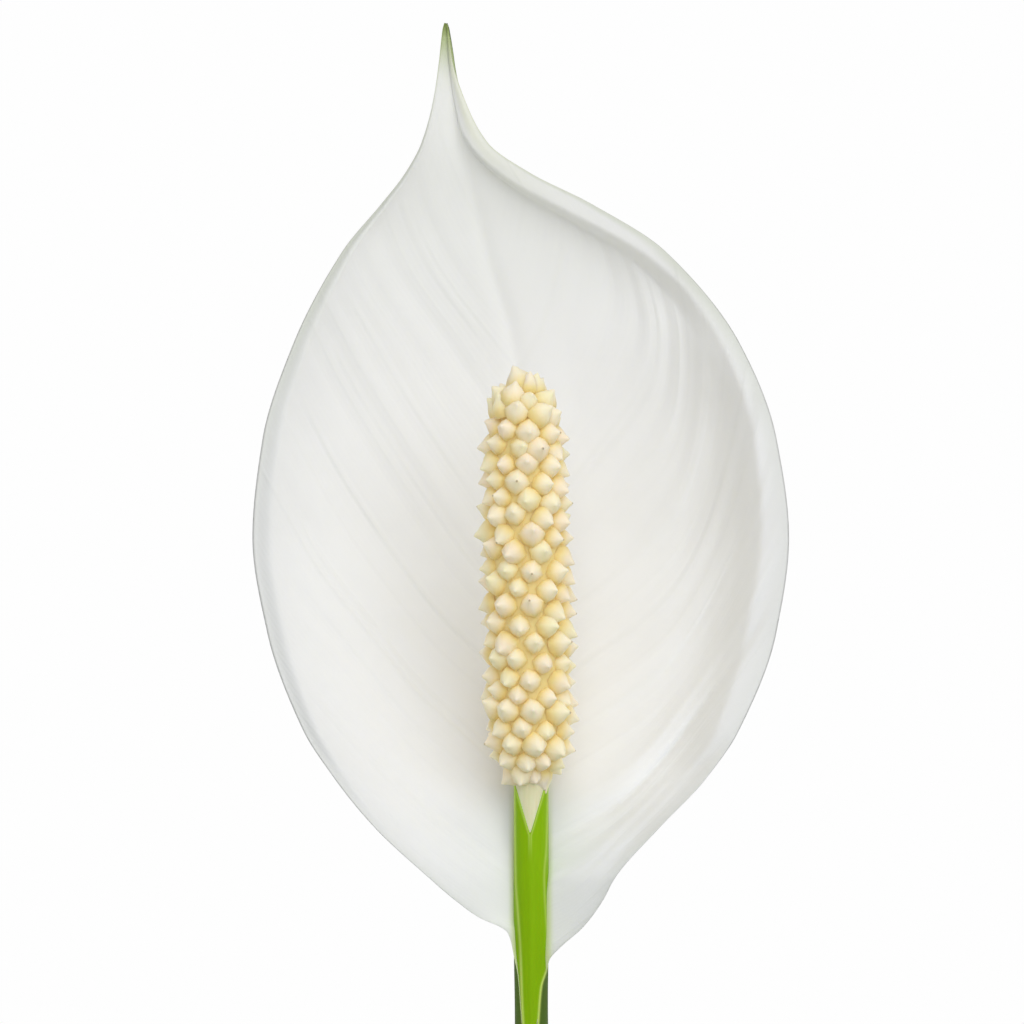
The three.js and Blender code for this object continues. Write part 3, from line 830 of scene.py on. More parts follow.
def mix_surface(sizes, x, y):
    """Height of the mix's lumpy surface over a point."""
    radius = math.hypot(x, y)
    dome = sizes.rise * (1 - smoothstep(radius, 25 * MM, 62 * MM))
    broad = noise.noise(Vector((x, y, 0)) * 70)
    middling = noise.noise(Vector((x, y, 3)) * 230)
    fine = noise.noise(Vector((x, y, 7)) * 700)
    return sizes.top + dome + sizes.lumps * (0.7 * broad + 0.6 * middling + 0.35 * fine)


def build_mix(pot, sizes):
    """The body of the mix, with crumbs, bark chips and perlite on its surface."""
    edge = inner_radius(pot, sizes.top) - 0.2 * MM
    low = pot.floor + 0.3 * MM
    outline = [(0, low), (inner_radius(pot, low) - 2 * MM, low), (edge, sizes.top - 4 * MM)]
    outline += [(edge * math.sqrt(i / MIX_RINGS), sizes.top) for i in range(MIX_RINGS, -1, -1)]
    bm = bmesh.new()
    turned(bm, outline, MIX_TURNS)
    for vert in bm.verts:
        if vert.co.z > sizes.top - 1 * MM:
            vert.co.z = mix_surface(sizes, vert.co.x, vert.co.y)
    peat = crumb_material("peat", 260.0, sizes.peat, sizes.peat_light)
    finish_piece("potting_mix_body", bm, peat, ["potting_mix"])

    bark = crumb_material("bark", 420.0, sizes.bark, sizes.peat)
    white = crumb_material("perlite", 500.0, sizes.white, srgb(196, 190, 176), 0.85, 0.3 * MM)
    draw = random.Random(sizes.seed)
    for name, number, make, material in (
        ("peat_crumbs", sizes.crumbs, crumb, peat),
        ("bark_chips", sizes.chips, chip, bark),
        ("perlite_grains", sizes.perlite, perlite_grain, white),
    ):
        grains = bmesh.new()
        scatter(grains, sizes, draw, number, edge, make)
        finish_piece(name, grains, material, smooth=make is not chip)


def scatter(bm, sizes, draw, number, edge, make):
    """Drops grains on the mix and on the crown's flank, out to the pot's wall."""
    for _ in range(number):
        radius = edge * math.sqrt(draw.uniform(0.12, 0.95))
        angle = draw.uniform(0, 2 * math.pi)
        x, y = radius * math.cos(angle), radius * math.sin(angle)
        at = Vector((x, y, max(mix_surface(sizes, x, y), crown_surface(radius))))
        facing = Matrix.Rotation(draw.uniform(0, 2 * math.pi), 4, "Z")
        tilt = tipped(draw.gauss(0, 0.45), draw.gauss(0, 0.45))
        make(bm, draw, Matrix.Translation(at) @ facing @ tilt)


def roughen(verts, draw, amount):
    for vert in verts:
        vert.co += Vector((draw.uniform(-1, 1), draw.uniform(-1, 1), draw.uniform(-1, 1))) * amount


def round_grain(bm, draw, at, subdivisions, flattest, uneven):
    """A slightly flattened and uneven grain, 1 to 3 mm across."""
    size = draw.uniform(0.5, 1.5) * MM
    shape = Matrix.Diagonal((1, draw.uniform(0.6, 1), draw.uniform(flattest, 0.9), 1))
    made = bmesh.ops.create_icosphere(bm, subdivisions=subdivisions, radius=size, matrix=at @ shape)
    roughen(made["verts"], draw, uneven * size)


def crumb(bm, draw, at):
    round_grain(bm, draw, at, subdivisions=1, flattest=0.5, uneven=0.25)


def perlite_grain(bm, draw, at):
    round_grain(bm, draw, at, subdivisions=2, flattest=0.6, uneven=0.2)


def chip(bm, draw, at):
    """A splinter of bark: a flat box with bevelled, uneven edges."""
    long, wide, thick = draw.uniform(3, 9) * MM, draw.uniform(1.5, 4) * MM, draw.uniform(0.6, 1.5) * MM
    made = bmesh.ops.create_cube(bm, size=1, matrix=at @ Matrix.Diagonal((long, wide, thick, 1)))["verts"]
    roughen(made, draw, 0.35 * thick)
    edges = list({edge for vert in made for edge in vert.link_edges})
    bevel = {"segments": 1, "profile": 0.5, "affect": "EDGES", "material": -1}
    bmesh.ops.bevel(bm, geom=edges, offset=0.2 * thick, **bevel)


# ---- Crown ----

# How far up the crown is widest, as a share of its height.
CROWN_WIDEST = 0.63
CROWN_ROWS = 14
CROWN_TURNS = 72
OLD_SHEATHS = 16
SHEATH_SEED = 11


def crown_sizes():
    """Radius of the crown, and the heights of its bottom, its widest part and its top."""
    low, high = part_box("crown")
    return high.x, low.z, mix(low.z, high.z, CROWN_WIDEST), high.z


def crown_surface(out):
    """Height of the crown's upper side at a distance from the middle, or 0 where there is no crown."""
    radius, _, widest, top = crown_sizes()
    return widest + (top - widest) * math.sqrt(1 - (out / radius) ** 2) if out < radius else 0


def build_crown(leaf):
    """The short stem that the leaves grow from, with a dry sheath round each petiole and some older ones."""
    radius, bottom, widest, top = crown_sizes()
    quarter = [i / CROWN_ROWS * math.pi / 2 for i in range(CROWN_ROWS + 1)]
    below = [(radius * math.sin(a), widest - (widest - bottom) * math.cos(a)) for a in quarter]
    above = [(radius * math.cos(a), widest + (top - widest) * math.sin(a)) for a in quarter]
    bm = bmesh.new()
    turned(bm, [*below, *above[1:]], CROWN_TURNS)
    for vert in bm.verts:
        rough = lumps(vert.co, (160, 0.8), (520, 0.4))
        vert.co += (vert.co - upward(widest)).normalized() * rough * MM
    brown = crumb_material("crown_skin", 180.0, srgb(98, 84, 48), srgb(62, 48, 30), 0.85, 0.3 * MM)
    finish_piece("crown_body", bm, brown, ["crown"])

    draw = random.Random(SHEATH_SEED)
    scales = bmesh.new()
    for number in range(1, len(LEAVES) + 1):
        plan = leaf_plan(number, leaf)
        out = min(plan["start"] + draw.uniform(1.15, 1.35) * leaf.base_radius, 0.96 * radius)
        lean = plan["base_lean"] + draw.uniform(1, 5) * DEGREE
        husk(scales, out, plan["azimuth"], draw.uniform(13, 24) * MM, draw.uniform(9, 12) * MM, lean)
    for _ in range(OLD_SHEATHS):
        out = draw.uniform(0.55, 0.93) * radius
        turn = draw.uniform(0, 2 * math.pi)
        lean = draw.uniform(25, 55) * DEGREE
        husk(scales, out, turn, draw.uniform(6, 13) * MM, draw.uniform(5, 9) * MM, lean)
    dry = crumb_material("dry_sheath", 150.0, srgb(166, 136, 92), srgb(106, 78, 46), 0.75, 0.2 * MM)
    finish_piece("dry_sheaths", scales, dry)


def husk(bm, out, angle, tall, wide, lean):
    """A thin pointed scale that stands on the crown and curls inwards at its sides."""
    away = outward(angle)
    side = Vector((-away.y, away.x, 0))
    foot = away * out + upward(crown_surface(out) - 2 * MM)

    def place(across, face, along):
        half = wide / 2 * (1 - along**2.2) + 0.3 * MM
        rise = foot + upward(tall * along) + away * math.tan(lean) * tall * along**1.5
        curl = -0.65 * half * across * across
        crumple = 0.5 * MM * noise.noise(Vector((across * 1.5, along * 3, angle * 7)))
        skin = 0.22 * MM * face * math.sqrt(max(0, 1 - across**4))
        return rise + side * half * across + away * (curl + crumple + skin), ()

    skin_round(bm, columns=16, rows=10, place=place)


# ---- Leaves ----

# Along the blade from its foot to its tip, its width as a share of its widest.
BLADE_OUTLINE = through([
    (0, 0.05), (0.05, 0.26), (0.15, 0.66), (0.28, 0.94), (0.4, 1), (0.55, 0.93), (0.7, 0.72), (0.83, 0.42),
    (0.92, 0.19), (1, 0.035),
])
# The youngest and the oldest leaf, in millimetres and degrees from upright.
YOUNG = {"petiole": 208, "blade": 165, "width": 58, "base_lean": 4, "end_lean": 13, "droop": 80}
OLD = {"petiole": 118, "blade": 192, "width": 76, "base_lean": 22, "end_lean": 54, "droop": 136}
FIRST_TURN = 62 * DEGREE
# How far a leaf bends at its knee, over which share of the blade, and where the knee is thickest.
KNEE = 12 * DEGREE
KNEE_SHARE = 0.12
KNEE_MIDDLE = -0.085
# The share of the rows that a petiole has, and the steps that its line is followed in from row to row.
PETIOLE_ROWS = 0.25
STEPS_IN_A_ROW = 3
BLADE_MARKS = ("across", "along", "upper", "age", "rib", "knee", "sheath")


def leaf_plan(number, leaf):
    """What sets a leaf apart. Number 1 is the youngest and most upright."""
    age = (number - 1) / (len(LEAVES) - 1)
    wobble = math.sin(number * 5.1)
    middle = {key: mix(YOUNG[key], OLD[key], age) for key in YOUNG}
    return {
        "age": age,
        "start": leaf.spacing * math.sqrt(number + 1),
        "azimuth": FIRST_TURN + number * GOLDEN_ANGLE,
        "petiole": (middle["petiole"] + 8 * wobble) * MM,
        "blade": (middle["blade"] + 7 * math.cos(number * 2.3)) * MM,
        "half": middle["width"] / 2 * MM,
        "base_lean": middle["base_lean"] * DEGREE,
        "end_lean": (middle["end_lean"] + 2 * wobble) * DEGREE,
        "tip_lean": (middle["droop"] + 5 * math.cos(number * 1.7)) * DEGREE,
        "sway": 7 * math.sin(number * 3.7) * DEGREE,
        "roll": 9 * math.sin(number * 4.3) * DEGREE,
        "phase": number * 1.9,
        "waves": 2.6 + 0.5 * math.sin(number * 2.9),
    }


def lean_at(plan, run):
    """Angle from upright at a distance along the leaf."""
    if run < plan["petiole"]:
        return mix(plan["base_lean"], plan["end_lean"], (run / plan["petiole"]) ** 2)
    t = (run - plan["petiole"]) / plan["blade"]
    bent = KNEE * smoothstep(t, 0, KNEE_SHARE)
    return plan["end_lean"] + bent + (plan["tip_lean"] - plan["end_lean"] - KNEE) * t**1.3


def row_along(share_of_rows):
    """Rows run from -1 at the crown to 0 at the blade's foot and 1 at the tip."""
    if share_of_rows < PETIOLE_ROWS:
        return share_of_rows / PETIOLE_ROWS - 1
    return (share_of_rows - PETIOLE_ROWS) / (1 - PETIOLE_ROWS)


def leaf_line(plan, leaf, crown_top):
    """For each row, the point on the leaf's middle line, its sideways and upward directions, and along."""
    stations = []
    radius, height, run = plan["start"], crown_top - leaf.rooted, 0.0
    total = plan["petiole"] + plan["blade"]
    for row in range(leaf.rows + 1):
        along = row_along(row / leaf.rows)
        target = plan["petiole"] * (1 + along) if along < 0 else plan["petiole"] + plan["blade"] * along
        step = (target - run) / STEPS_IN_A_ROW
        for _ in range(STEPS_IN_A_ROW if step > 0 else 0):
            lean = lean_at(plan, run + step / 2)
            radius += math.sin(lean) * step
            height += math.cos(lean) * step
            run += step
        out = outward(plan["azimuth"] + plan["sway"] * (run / total) ** 2)
        lean = lean_at(plan, run)
        forward = out * math.sin(lean) + upward(math.cos(lean))
        side = Vector((out.y, -out.x, 0))
        roll = Matrix.Rotation(plan["roll"] * smoothstep(along, 0, 0.4), 3, forward)
        up = side.cross(forward).normalized()
        stations.append((out * radius + upward(height), roll @ side, roll @ up, along))
    return stations


def vein_start(across, along):
    """Where along the midrib the lateral vein through a point of the blade starts."""
    return along - VEIN_LEAN * abs(across) - VEIN_SWEEP * across * across


def leaf_place(plan, leaf, stations):
    """The function that puts a point of the wrapped grid on the leaf."""

    def place(even, face, share_along):
        point, side, up, along = stations[round(share_along * leaf.rows)]
        across = crowded(even, 0.55)
        stem_x, stem_up = stem_section(leaf, along, even, face)
        blade_x, blade_up, rib = blade_section(plan, leaf, along, across, face)
        on_blade = smoothstep(along, 0, 0.06)
        x = mix(stem_x, blade_x, on_blade)
        rise = mix(stem_up, blade_up, on_blade)
        knee = bell(along - KNEE_MIDDLE, 0.07)
        sheath = smoothstep(-along, 0.82, 1.0)
        marks = (across, along, face * 0.5 + 0.5, plan["age"], rib, knee, sheath)
        return point + side * x + up * rise, marks

    return place


def stem_section(leaf, along, even, face):
    """The petiole: round, with a channel above, a knee swollen below the blade and wings at its foot."""
    swell = 1 + 0.3 * bell(along - KNEE_MIDDLE, 0.06)
    radius = mix(leaf.base_radius, leaf.end_radius, min(1, along + 1)) * swell
    angle = even * math.pi / 2
    wing = smoothstep(-along, 0.4, 0.75)
    x = radius * math.sin(angle) * (1 + 0.55 * wing * abs(even) ** 3)
    up = face * radius * math.cos(angle)
    if face > 0:
        channel = mix(0.3, 0.85, wing) * smoothstep(-along, 0.1, 0.3)
        up -= radius * channel * bell(even, 0.5)
    return x, up + 0.8 * radius * wing * even**4


def blade_section(plan, leaf, along, across, face):
    """The blade: a shallow fold with waved margins, quilted between its veins, and a midrib."""
    t = clamp(along)
    half = plan["half"] * BLADE_OUTLINE(t)
    out = abs(across)
    rise = leaf.fold * half * out**1.2 - 0.07 * half * out**4
    wave = math.sin(2 * math.pi * plan["waves"] * t + plan["phase"] + (1.3 if across > 0 else 0))
    rise += leaf.ripple * wave * out * out * smoothstep(t, 0.02, 0.25) * smoothstep(t, 1, 0.8)
    phase = vein_start(across, t) * leaf.veins
    off_vein = abs(phase - math.floor(phase) - 0.5)
    reach = smoothstep(out, 0.98, 0.7) * smoothstep(out, 0.0, 0.12)
    rise -= leaf.quilt * bell(off_vein, 0.16) * reach * smoothstep(half, 4 * MM, 16 * MM)
    x = across * half
    skin = leaf.thickness / 2 * edge_share(across)
    if face > 0:
        rise += skin - 0.45 * MM * bell(x, 0.9 * MM)
    else:
        keel = leaf.rib * (1 - t) + 0.25 * MM
        rise -= skin + keel * bell(x, 1.3 * MM)
    return x, rise, bell(x, 1.0 * MM)


def build_leaves(leaf):
    crown_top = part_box("crown")[1].z
    material = leaf_material(leaf)
    for number, node in enumerate(LEAVES, 1):
        plan = leaf_plan(number, leaf)
        place = leaf_place(plan, leaf, leaf_line(plan, leaf, crown_top))
        bm = bmesh.new()
        skin_round(bm, leaf.columns, leaf.rows, place, BLADE_MARKS)
        finish_piece(f"{node}_grown", bm, material, [node])


# ---- Bloom: outlines in millimetres from the height at which the spathe meets the stalk ----

SPATHE_FOOT = -9.4
SPATHE_TIP = 130.3
# The spathe's width from one vein to the next.
VEIN_GAP = 5

# Height and x of the spathe's two margins and its midrib, seen from the front. The stalk is at x = 0.
LEFT_EDGE = through([
    (-9.4, -1.3), (-6.9, -1.5), (-2.8, -1.86), (-0.6, -2.3), (2.2, -2.9), (3.3, -3.4), (4, -4.4),
    (5.1, -6.95), (7.6, -10.4), (11, -14.3), (17.6, -21.5), (24.4, -27.3), (31, -31.8), (44.5, -37),
    (58, -39.2), (71.4, -37.9), (84.8, -33.7), (98.3, -26.6), (105, -21.1), (109.2, -17.8), (113.4, -15.5),
    (119, -13.9), (125, -12.95), (128.6, -12.5), (129.8, -12.3), (130.3, -12.05),
])
RIGHT_EDGE = through([
    (-9.4, 0.85), (-4.5, 1.4), (-2, 2.2), (-0.7, 2.5), (1, 3.9), (4, 7.2), (7.6, 9.8), (11, 11.6),
    (17.6, 17.4), (24.4, 24), (31, 28.7), (44.5, 34.1), (58, 36), (71.4, 34.4), (84.8, 29.5), (98.3, 18.9),
    (105, 8.4), (109.2, 0), (113.4, -6), (119, -9.1), (125, -11.05), (128.6, -11.5), (129.8, -11.65),
    (130.3, -11.95),
])
MIDRIB = through([
    (-9.4, 0), (58, 0), (71, -0.6), (85, -2.4), (97, -5.9), (103, -7.4), (110, -8.9), (116, -10.3),
    (130.4, -12),
])
# How far the midrib stands behind the stalk's middle, and how far each margin stands forward of the midrib.
DEPTH = through([
    (-9.4, 0), (-2, 0), (10, 0.6), (18, 2.6), (23, 4.9), (27, 7.6), (32, 10.2), (45, 16), (60, 20),
    (80, 21.5), (100, 20), (115, 17), (130.4, 15),
])
LEFT_FORWARD = through([
    (-9.4, 2.1), (-2, 1.6), (2, 1.4), (10, 4), (20, 6), (40, 8), (60, 9), (80, 8), (95, 6), (105, 4),
    (113, 2.7), (120, 1.2), (125, 0.5), (130.4, 0.1),
])
RIGHT_FORWARD = through([
    (-9.4, 2.4), (-2, 1.2), (2, 2.2), (10, 5), (20, 8.5), (40, 13), (60, 15), (78, 13), (86, 9.6), (93, 6),
    (100, 4), (105, 3.1), (109, 2.5), (113, 2.1), (120, 1.1), (125, 0.5), (130.4, 0.1),
])
# The number of the vein that leaves the midrib at a height. It grows upwards.
VEIN_START = through([
    (-10, -9), (0, -5.4), (10, -2), (20, 1), (32, 4), (45, 6.8), (58, 9.2), (71, 11.2), (84, 12.8),
    (96, 14), (108, 14.8), (120, 15.3), (131, 15.6),
])
# The share of the right margin's rise at a place across the right half, over most of the hood's height.
RIGHT_RISE = through([
    (0, 0), (0.2, 0.02), (0.4, 0.08), (0.6, 0.19), (0.72, 0.34), (0.8, 0.55), (0.86, 0.8), (0.9, 0.93),
    (1, 0.95),
])
# The place across the right half where the lip's inner edge is, at a height.
LIP_EDGE = through([
    (-10, 0.2), (8, 0.22), (10.5, 0.26), (12.6, 0.41), (15.4, 0.54), (18.2, 0.66), (21, 0.75), (25.9, 0.9),
    (43, 0.89), (54, 0.897), (71, 0.92), (83, 0.928), (92.4, 0.93), (96.6, 0.895), (99.4, 0.84),
    (103.6, 0.72), (106.4, 0.61), (109.2, 0.51), (112, 0.38), (114.8, 0.25), (120, 0.2), (131, 0.2),
])


def margin(across, height):
    """x of the margin on the same side as a place across."""
    return LEFT_EDGE(height) if across < 0 else RIGHT_EDGE(height)


def vein_phase(across, half, height):
    """Grows by 1 from one vein of the spathe to the next. Veins leave the midrib and arch upwards."""
    out = abs(across)
    left_reach = out * (0.95 + 0.27 * out)
    reach = left_reach if across < 0 else 0.75 * out + 0.2 * out**3 + 0.3 * smoothstep(out, 0.55, 1.0)
    wander = 0.14 * noise.noise(Vector((across * half * 0.09, height * 0.05, 7)))
    return VEIN_START(height) - half * reach / VEIN_GAP + wander


def spathe_relief(across, half, height):
    """Soft undulations, veins and the crease of the midrib, in millimetres towards the front."""
    phase = vein_phase(across, half, height)
    flank = 40 if across < 0 else 80
    nearest = math.floor(phase + 0.5)
    strength = 0.5 + noise.noise(Vector((nearest * 0.73, flank, 2)))
    from_rib = abs(across) * half
    lip = mix(1.0, LIP_EDGE(height), smoothstep(height, 78, 90)) if across > 0 else 1.0
    inside = smoothstep(abs(across), lip, lip - 0.15) * smoothstep(from_rib, 1, 8) * smoothstep(half, 4, 14)
    folds = -0.18 * max(0.0, strength - 0.25) * (0.5 + 0.5 * math.cos(2 * math.pi * (phase - nearest))) ** 3
    deep = 0.36
    if across > 0:
        deep = mix(0.35, 1.2, smoothstep(across, 0.3, 0.75)) * mix(1.3, 0.8, smoothstep(height, 70, 95))
    swells = deep * noise.noise(Vector((phase * 0.7, flank, from_rib * 0.03)))
    swells += 0.4 * deep * noise.noise(Vector((phase * 1.9, flank + 9, from_rib * 0.05)))
    broad = 0.5 * noise.noise(Vector((across * half * 0.035, height * 0.022, 4)))
    crease = -0.35 * bell(from_rib, 1.3) * smoothstep(height, 60, 90) * smoothstep(height, 130, 118)
    return ((folds + swells + broad) * inside + crease) * smoothstep(height, 2, 20)


def right_rise(across, height):
    """Share of the right margin's rise at a place across, with the steepest part just inside the lip."""
    edge = LIP_EDGE(height)
    inner = min(1.0, across / edge)
    outer = max(0.0, (across - edge) / (1 - edge))
    crease = 0.3 * inner * inner + 0.7 * outer
    broad = RIGHT_RISE(0.9 * inner + 0.1 * outer)
    narrow = 0.25 * inner**3 + 0.68 * smoothstep(inner, 0.88, 1.0) + 0.07 * outer
    narrow = mix(narrow, smoothstep(across, 0, 0.7), 0.65 * smoothstep(height, 112, 122))
    return mix(mix(crease, broad, smoothstep(height, 16, 32)), narrow, smoothstep(height, 84, 97))


def spathe_surface(across, height):
    """A point of the spathe's middle surface in millimetres, before the bloom's base height is added."""
    out = abs(across)
    middle = MIDRIB(height)
    edge = margin(across, height)
    if across < 0:
        lift = LEFT_FORWARD(height) * out * out
        lift -= 1.7 * smoothstep(out, 0.925, 1.0) * smoothstep(height, 10, 35) * smoothstep(height, 124, 100)
    else:
        lift = RIGHT_FORWARD(height) * right_rise(out, height)
    lift += spathe_relief(across, abs(edge - middle), height)
    return Vector((mix(middle, edge, out), DEPTH(height) - lift, height))


def spathe_front(across, height, near=0.02):
    """The way that the spathe faces at a point, found from four points near it."""
    beside = spathe_surface(clamp(across + near, -1, 1), height)
    beside -= spathe_surface(clamp(across - near, -1, 1), height)
    above = spathe_surface(across, min(SPATHE_TIP, height + near)) - spathe_surface(across, height - near)
    normal = beside.cross(above)
    front = normal.normalized() if normal.length > 0 else Vector((0, -1, 0))
    return -front if front.y > 0 else front


def build_spathe(bloom):
    """The white hood, with its two margins running down into thin ridges on the stalk."""
    base = upward(bloom.base)

    def place(even, face, share_up):
        across = crowded(even, 0.35)
        height = mix(SPATHE_FOOT, SPATHE_TIP, share_up * mix(0.7, 1, share_up))
        here = spathe_surface(across, height)
        front = spathe_front(across, height)
        width = abs(RIGHT_EDGE(height) - LEFT_EDGE(height)) * MM
        thick = min(bloom.thickness, 0.4 * width) * mix(0.55, 1, smoothstep(abs(across), 1.0, 0.7))
        half = abs(margin(across, height) - MIDRIB(height))
        behind = smoothstep(height, -2, 14) * bell(across * half, 1.1) if face < 0 else 0.0
        keel = behind * bloom.keel * mix(1, 0.3, clamp(height / SPATHE_TIP))
        point = base + here * MM + front * face * (thick / 2 * edge_share(across) + keel)
        foot = 0.8 * smoothstep(abs(here.x), 3.4, 2.2) * smoothstep(height, 30, 12) + 0.05 * bell(height, 6)
        rib = bell(across * half, 1.6) if face < 0 else 0.0
        return point, (across, height * MM, vein_phase(across, half, height), foot, rib)

    bm = bmesh.new()
    skin_round(bm, bloom.columns, bloom.rows, place, ("across", "height", "vein_phase", "foot", "rib"))
    finish_piece("spathe_hood", bm, spathe_material(bloom), ["spathe"])


# ---- Flower stalk ----

# Height and x of the pale ridges along the bright front of the stalk, and how far the bright front reaches.
# Above the base the ridges' paleness is a painted highlight.
LEFT_LINE = through([(-10.4, -1.12), (-6.4, -1.3), (0.8, -1.52), (6, -1.86), (10.4, -2.16), (24, -2.35)])
RIGHT_LINE = through([(-10.4, 0.86), (-4.5, 1.36), (-1, 2.3), (11, 1.8), (15, 2.1), (24, 2.35)])
LEFT_PANEL = through([(-10.4, -1.3), (-6.9, -1.5), (-2.8, -1.86), (0.1, -2.4), (2, -3), (24, -3)])
RIGHT_PANEL = through([(-10.4, 0.8), (-4.5, 1.4), (-0.8, 2.4), (1, 3), (24, 3)])
# The pale V where the spike's own stalk shows in front.
V_MIDDLE = -0.16
V_FOOT = 16.6
V_TOP = 25
STALK_COLUMNS = 144
STALK_ROWS = 340
# The share of the rows that the top of the stalk has, from this length below the base.
FINE_ROWS = 0.7
FINE_LENGTH = 14 * MM


def stalk_centre(bloom, crown_top, z):
    """The stalk's middle at a height: it sways a little on its way up."""
    t = clamp((z - crown_top) / (bloom.base - crown_top))
    bend = math.sin(math.pi * t) ** 2
    return Vector((5 * MM * bend * t, 6 * MM * bend * (1 - t), z))


def v_half(height):
    """Half the width of the pale V at a height above the base."""
    return 0.3 * max(0.0, height - V_FOOT)


def stalk_front(x, height):
    """How far the stalk's front stands out from its round, and how pale and how bright it is, at a height.
    Above the base the ridges' paleness is painted highlight.
    """
    near = smoothstep(height, -60, -12)
    low = smoothstep(height, 2, -3)
    left = bell(x - LEFT_LINE(height), 0.17) * mix(0.7, 1, low)
    right = bell(x - RIGHT_LINE(height), 0.15) * mix(0.45, 1, low)
    keel = 0.2 * max(0.0, 1 - abs(x + 0.1) / 1.7) * smoothstep(height, 20, 6)
    from_v = abs(x - V_MIDDLE) - v_half(height)
    in_v = smoothstep(from_v, 0.08, -0.14) * smoothstep(height, V_FOOT - 0.2, V_FOOT + 0.8)
    v_edge = bell(from_v - 0.14, 0.13) * smoothstep(height, V_FOOT - 4, V_FOOT + 1)
    stands = near * (0.1 * (left + right) + keel + 0.07 * v_edge - 0.3 * in_v)
    # Pale ridges: the spathe's pale margins below the base and painted highlight lines above it, and the V's
    # pale rim.
    pale = near * max(left, right, 0.5 * v_edge)
    bright = smoothstep(x - LEFT_PANEL(height), -0.1, 0.1) * smoothstep(RIGHT_PANEL(height) - x, -0.1, 0.1)
    return stands, pale, mix(0.12, bright, near)


def build_stalk(bloom):
    """The flower stalk, plain and ribbed below, with a bright front under the bloom."""
    crown_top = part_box("crown")[1].z
    foot = crown_top - 4 * MM
    top = bloom.base + bloom.stalk_top
    fine_from = bloom.base - FINE_LENGTH

    def place(even, face, share_up):
        if share_up < 1 - FINE_ROWS:
            z = mix(foot, fine_from, share_up / (1 - FINE_ROWS))
        else:
            z = mix(fine_from, top, (share_up - 1 + FINE_ROWS) / FINE_ROWS)
        height = (z - bloom.base) / MM
        radius = bloom.stalk_radius * (1 + 0.25 * (top - z) / (top - foot))
        radius *= mix(0.94, 1.0, smoothstep(height, -8, 4))
        angle = crowded(even, 0.5) * math.pi / 2
        x = radius * math.sin(angle) / MM
        y = -face * radius * math.cos(angle) / MM
        stands, pale, bright = stalk_front(x, height) if face > 0 else (0, 0, 0.2)
        ribs = 0.05 * math.sin(even * math.pi * 5) * smoothstep(height, -14, -50)
        return stalk_centre(bloom, crown_top, z) + Vector((x, y - stands - ribs, 0)) * MM, (bright, pale)

    bm = bmesh.new()
    skin_round(bm, STALK_COLUMNS, STALK_ROWS, place, ("panel", "ridge_and_highlight"))
    finish_piece("stalk_grown", bm, stalk_material(bloom), ["flower_stalk"])


# ---- Spadix ----

# Height above the base, and how far from the spike's middle a floret's foot stands.
FLORET_FOOT = through([
    (24.8, 0.6), (26, 1.9), (27.2, 2.9), (29, 3.75), (34, 4.05), (42, 4.2), (50, 4.25), (58, 4.15), (63, 4),
    (70, 3.6), (74, 3.1), (76, 2.6), (77.3, 1.9), (78.1, 1.2), (78.5, 0.5),
])
# The height of a floret, by the share of the florets that stand below it.
FLORET_RISE = through([(0, 25), (0.03, 26.2), (0.92, 75), (1, 78.4)])
FLORET_TURN = 317.65 * DEGREE
FLORET_SEED = 5
# Shares of the floret's radius and height.
FLORET_OUTLINE = (
    (0.9, 0), (1, 0.18), (0.97, 0.33), (0.84, 0.47), (0.65, 0.6), (0.45, 0.71), (0.28, 0.81), (0.15, 0.92),
    (0, 1),
)
FLORET_MARKS = ("rise", "tone", "stigma")
STIGMA_FROM = 0.95
STIGMA_CHANCE = 0.12
# The spike leans to the left and forward from its foot.
SPADIX_FOOT = 22
SPADIX_LEAN = -0.06
SPADIX_SIDE_LEAN = -0.019
CORE_FOOT = 24.6
CORE_TOP = 79


def spadix_axis(bloom, height):
    """The middle of the spike at a height."""
    rise = height - SPADIX_FOOT
    return Vector((SPADIX_SIDE_LEAN * rise, SPADIX_LEAN * rise, height)) * MM + upward(bloom.base)


def floret(bm, radius, tall, at, marks, layers):
    """One pointed floret, turned from its outline, made slightly four-sided and set in place."""
    first = len(bm.verts)
    spin(bm, [(r * radius, h * tall) for r, h in FLORET_OUTLINE], 8)
    bm.verts.ensure_lookup_table()
    tone, stigma = marks
    for vert in bm.verts[first:]:
        rise = clamp(vert.co.z / tall)
        corner = math.cos(4 * math.atan2(vert.co.y, vert.co.x))
        for layer, value in zip(layers, (rise, tone, stigma if rise > STIGMA_FROM else 0.0)):
            vert[layer] = value
        vert.co.x *= 0.98 + 0.06 * corner
        vert.co.y *= 1.02 + 0.06 * corner
        vert.co = at @ vert.co


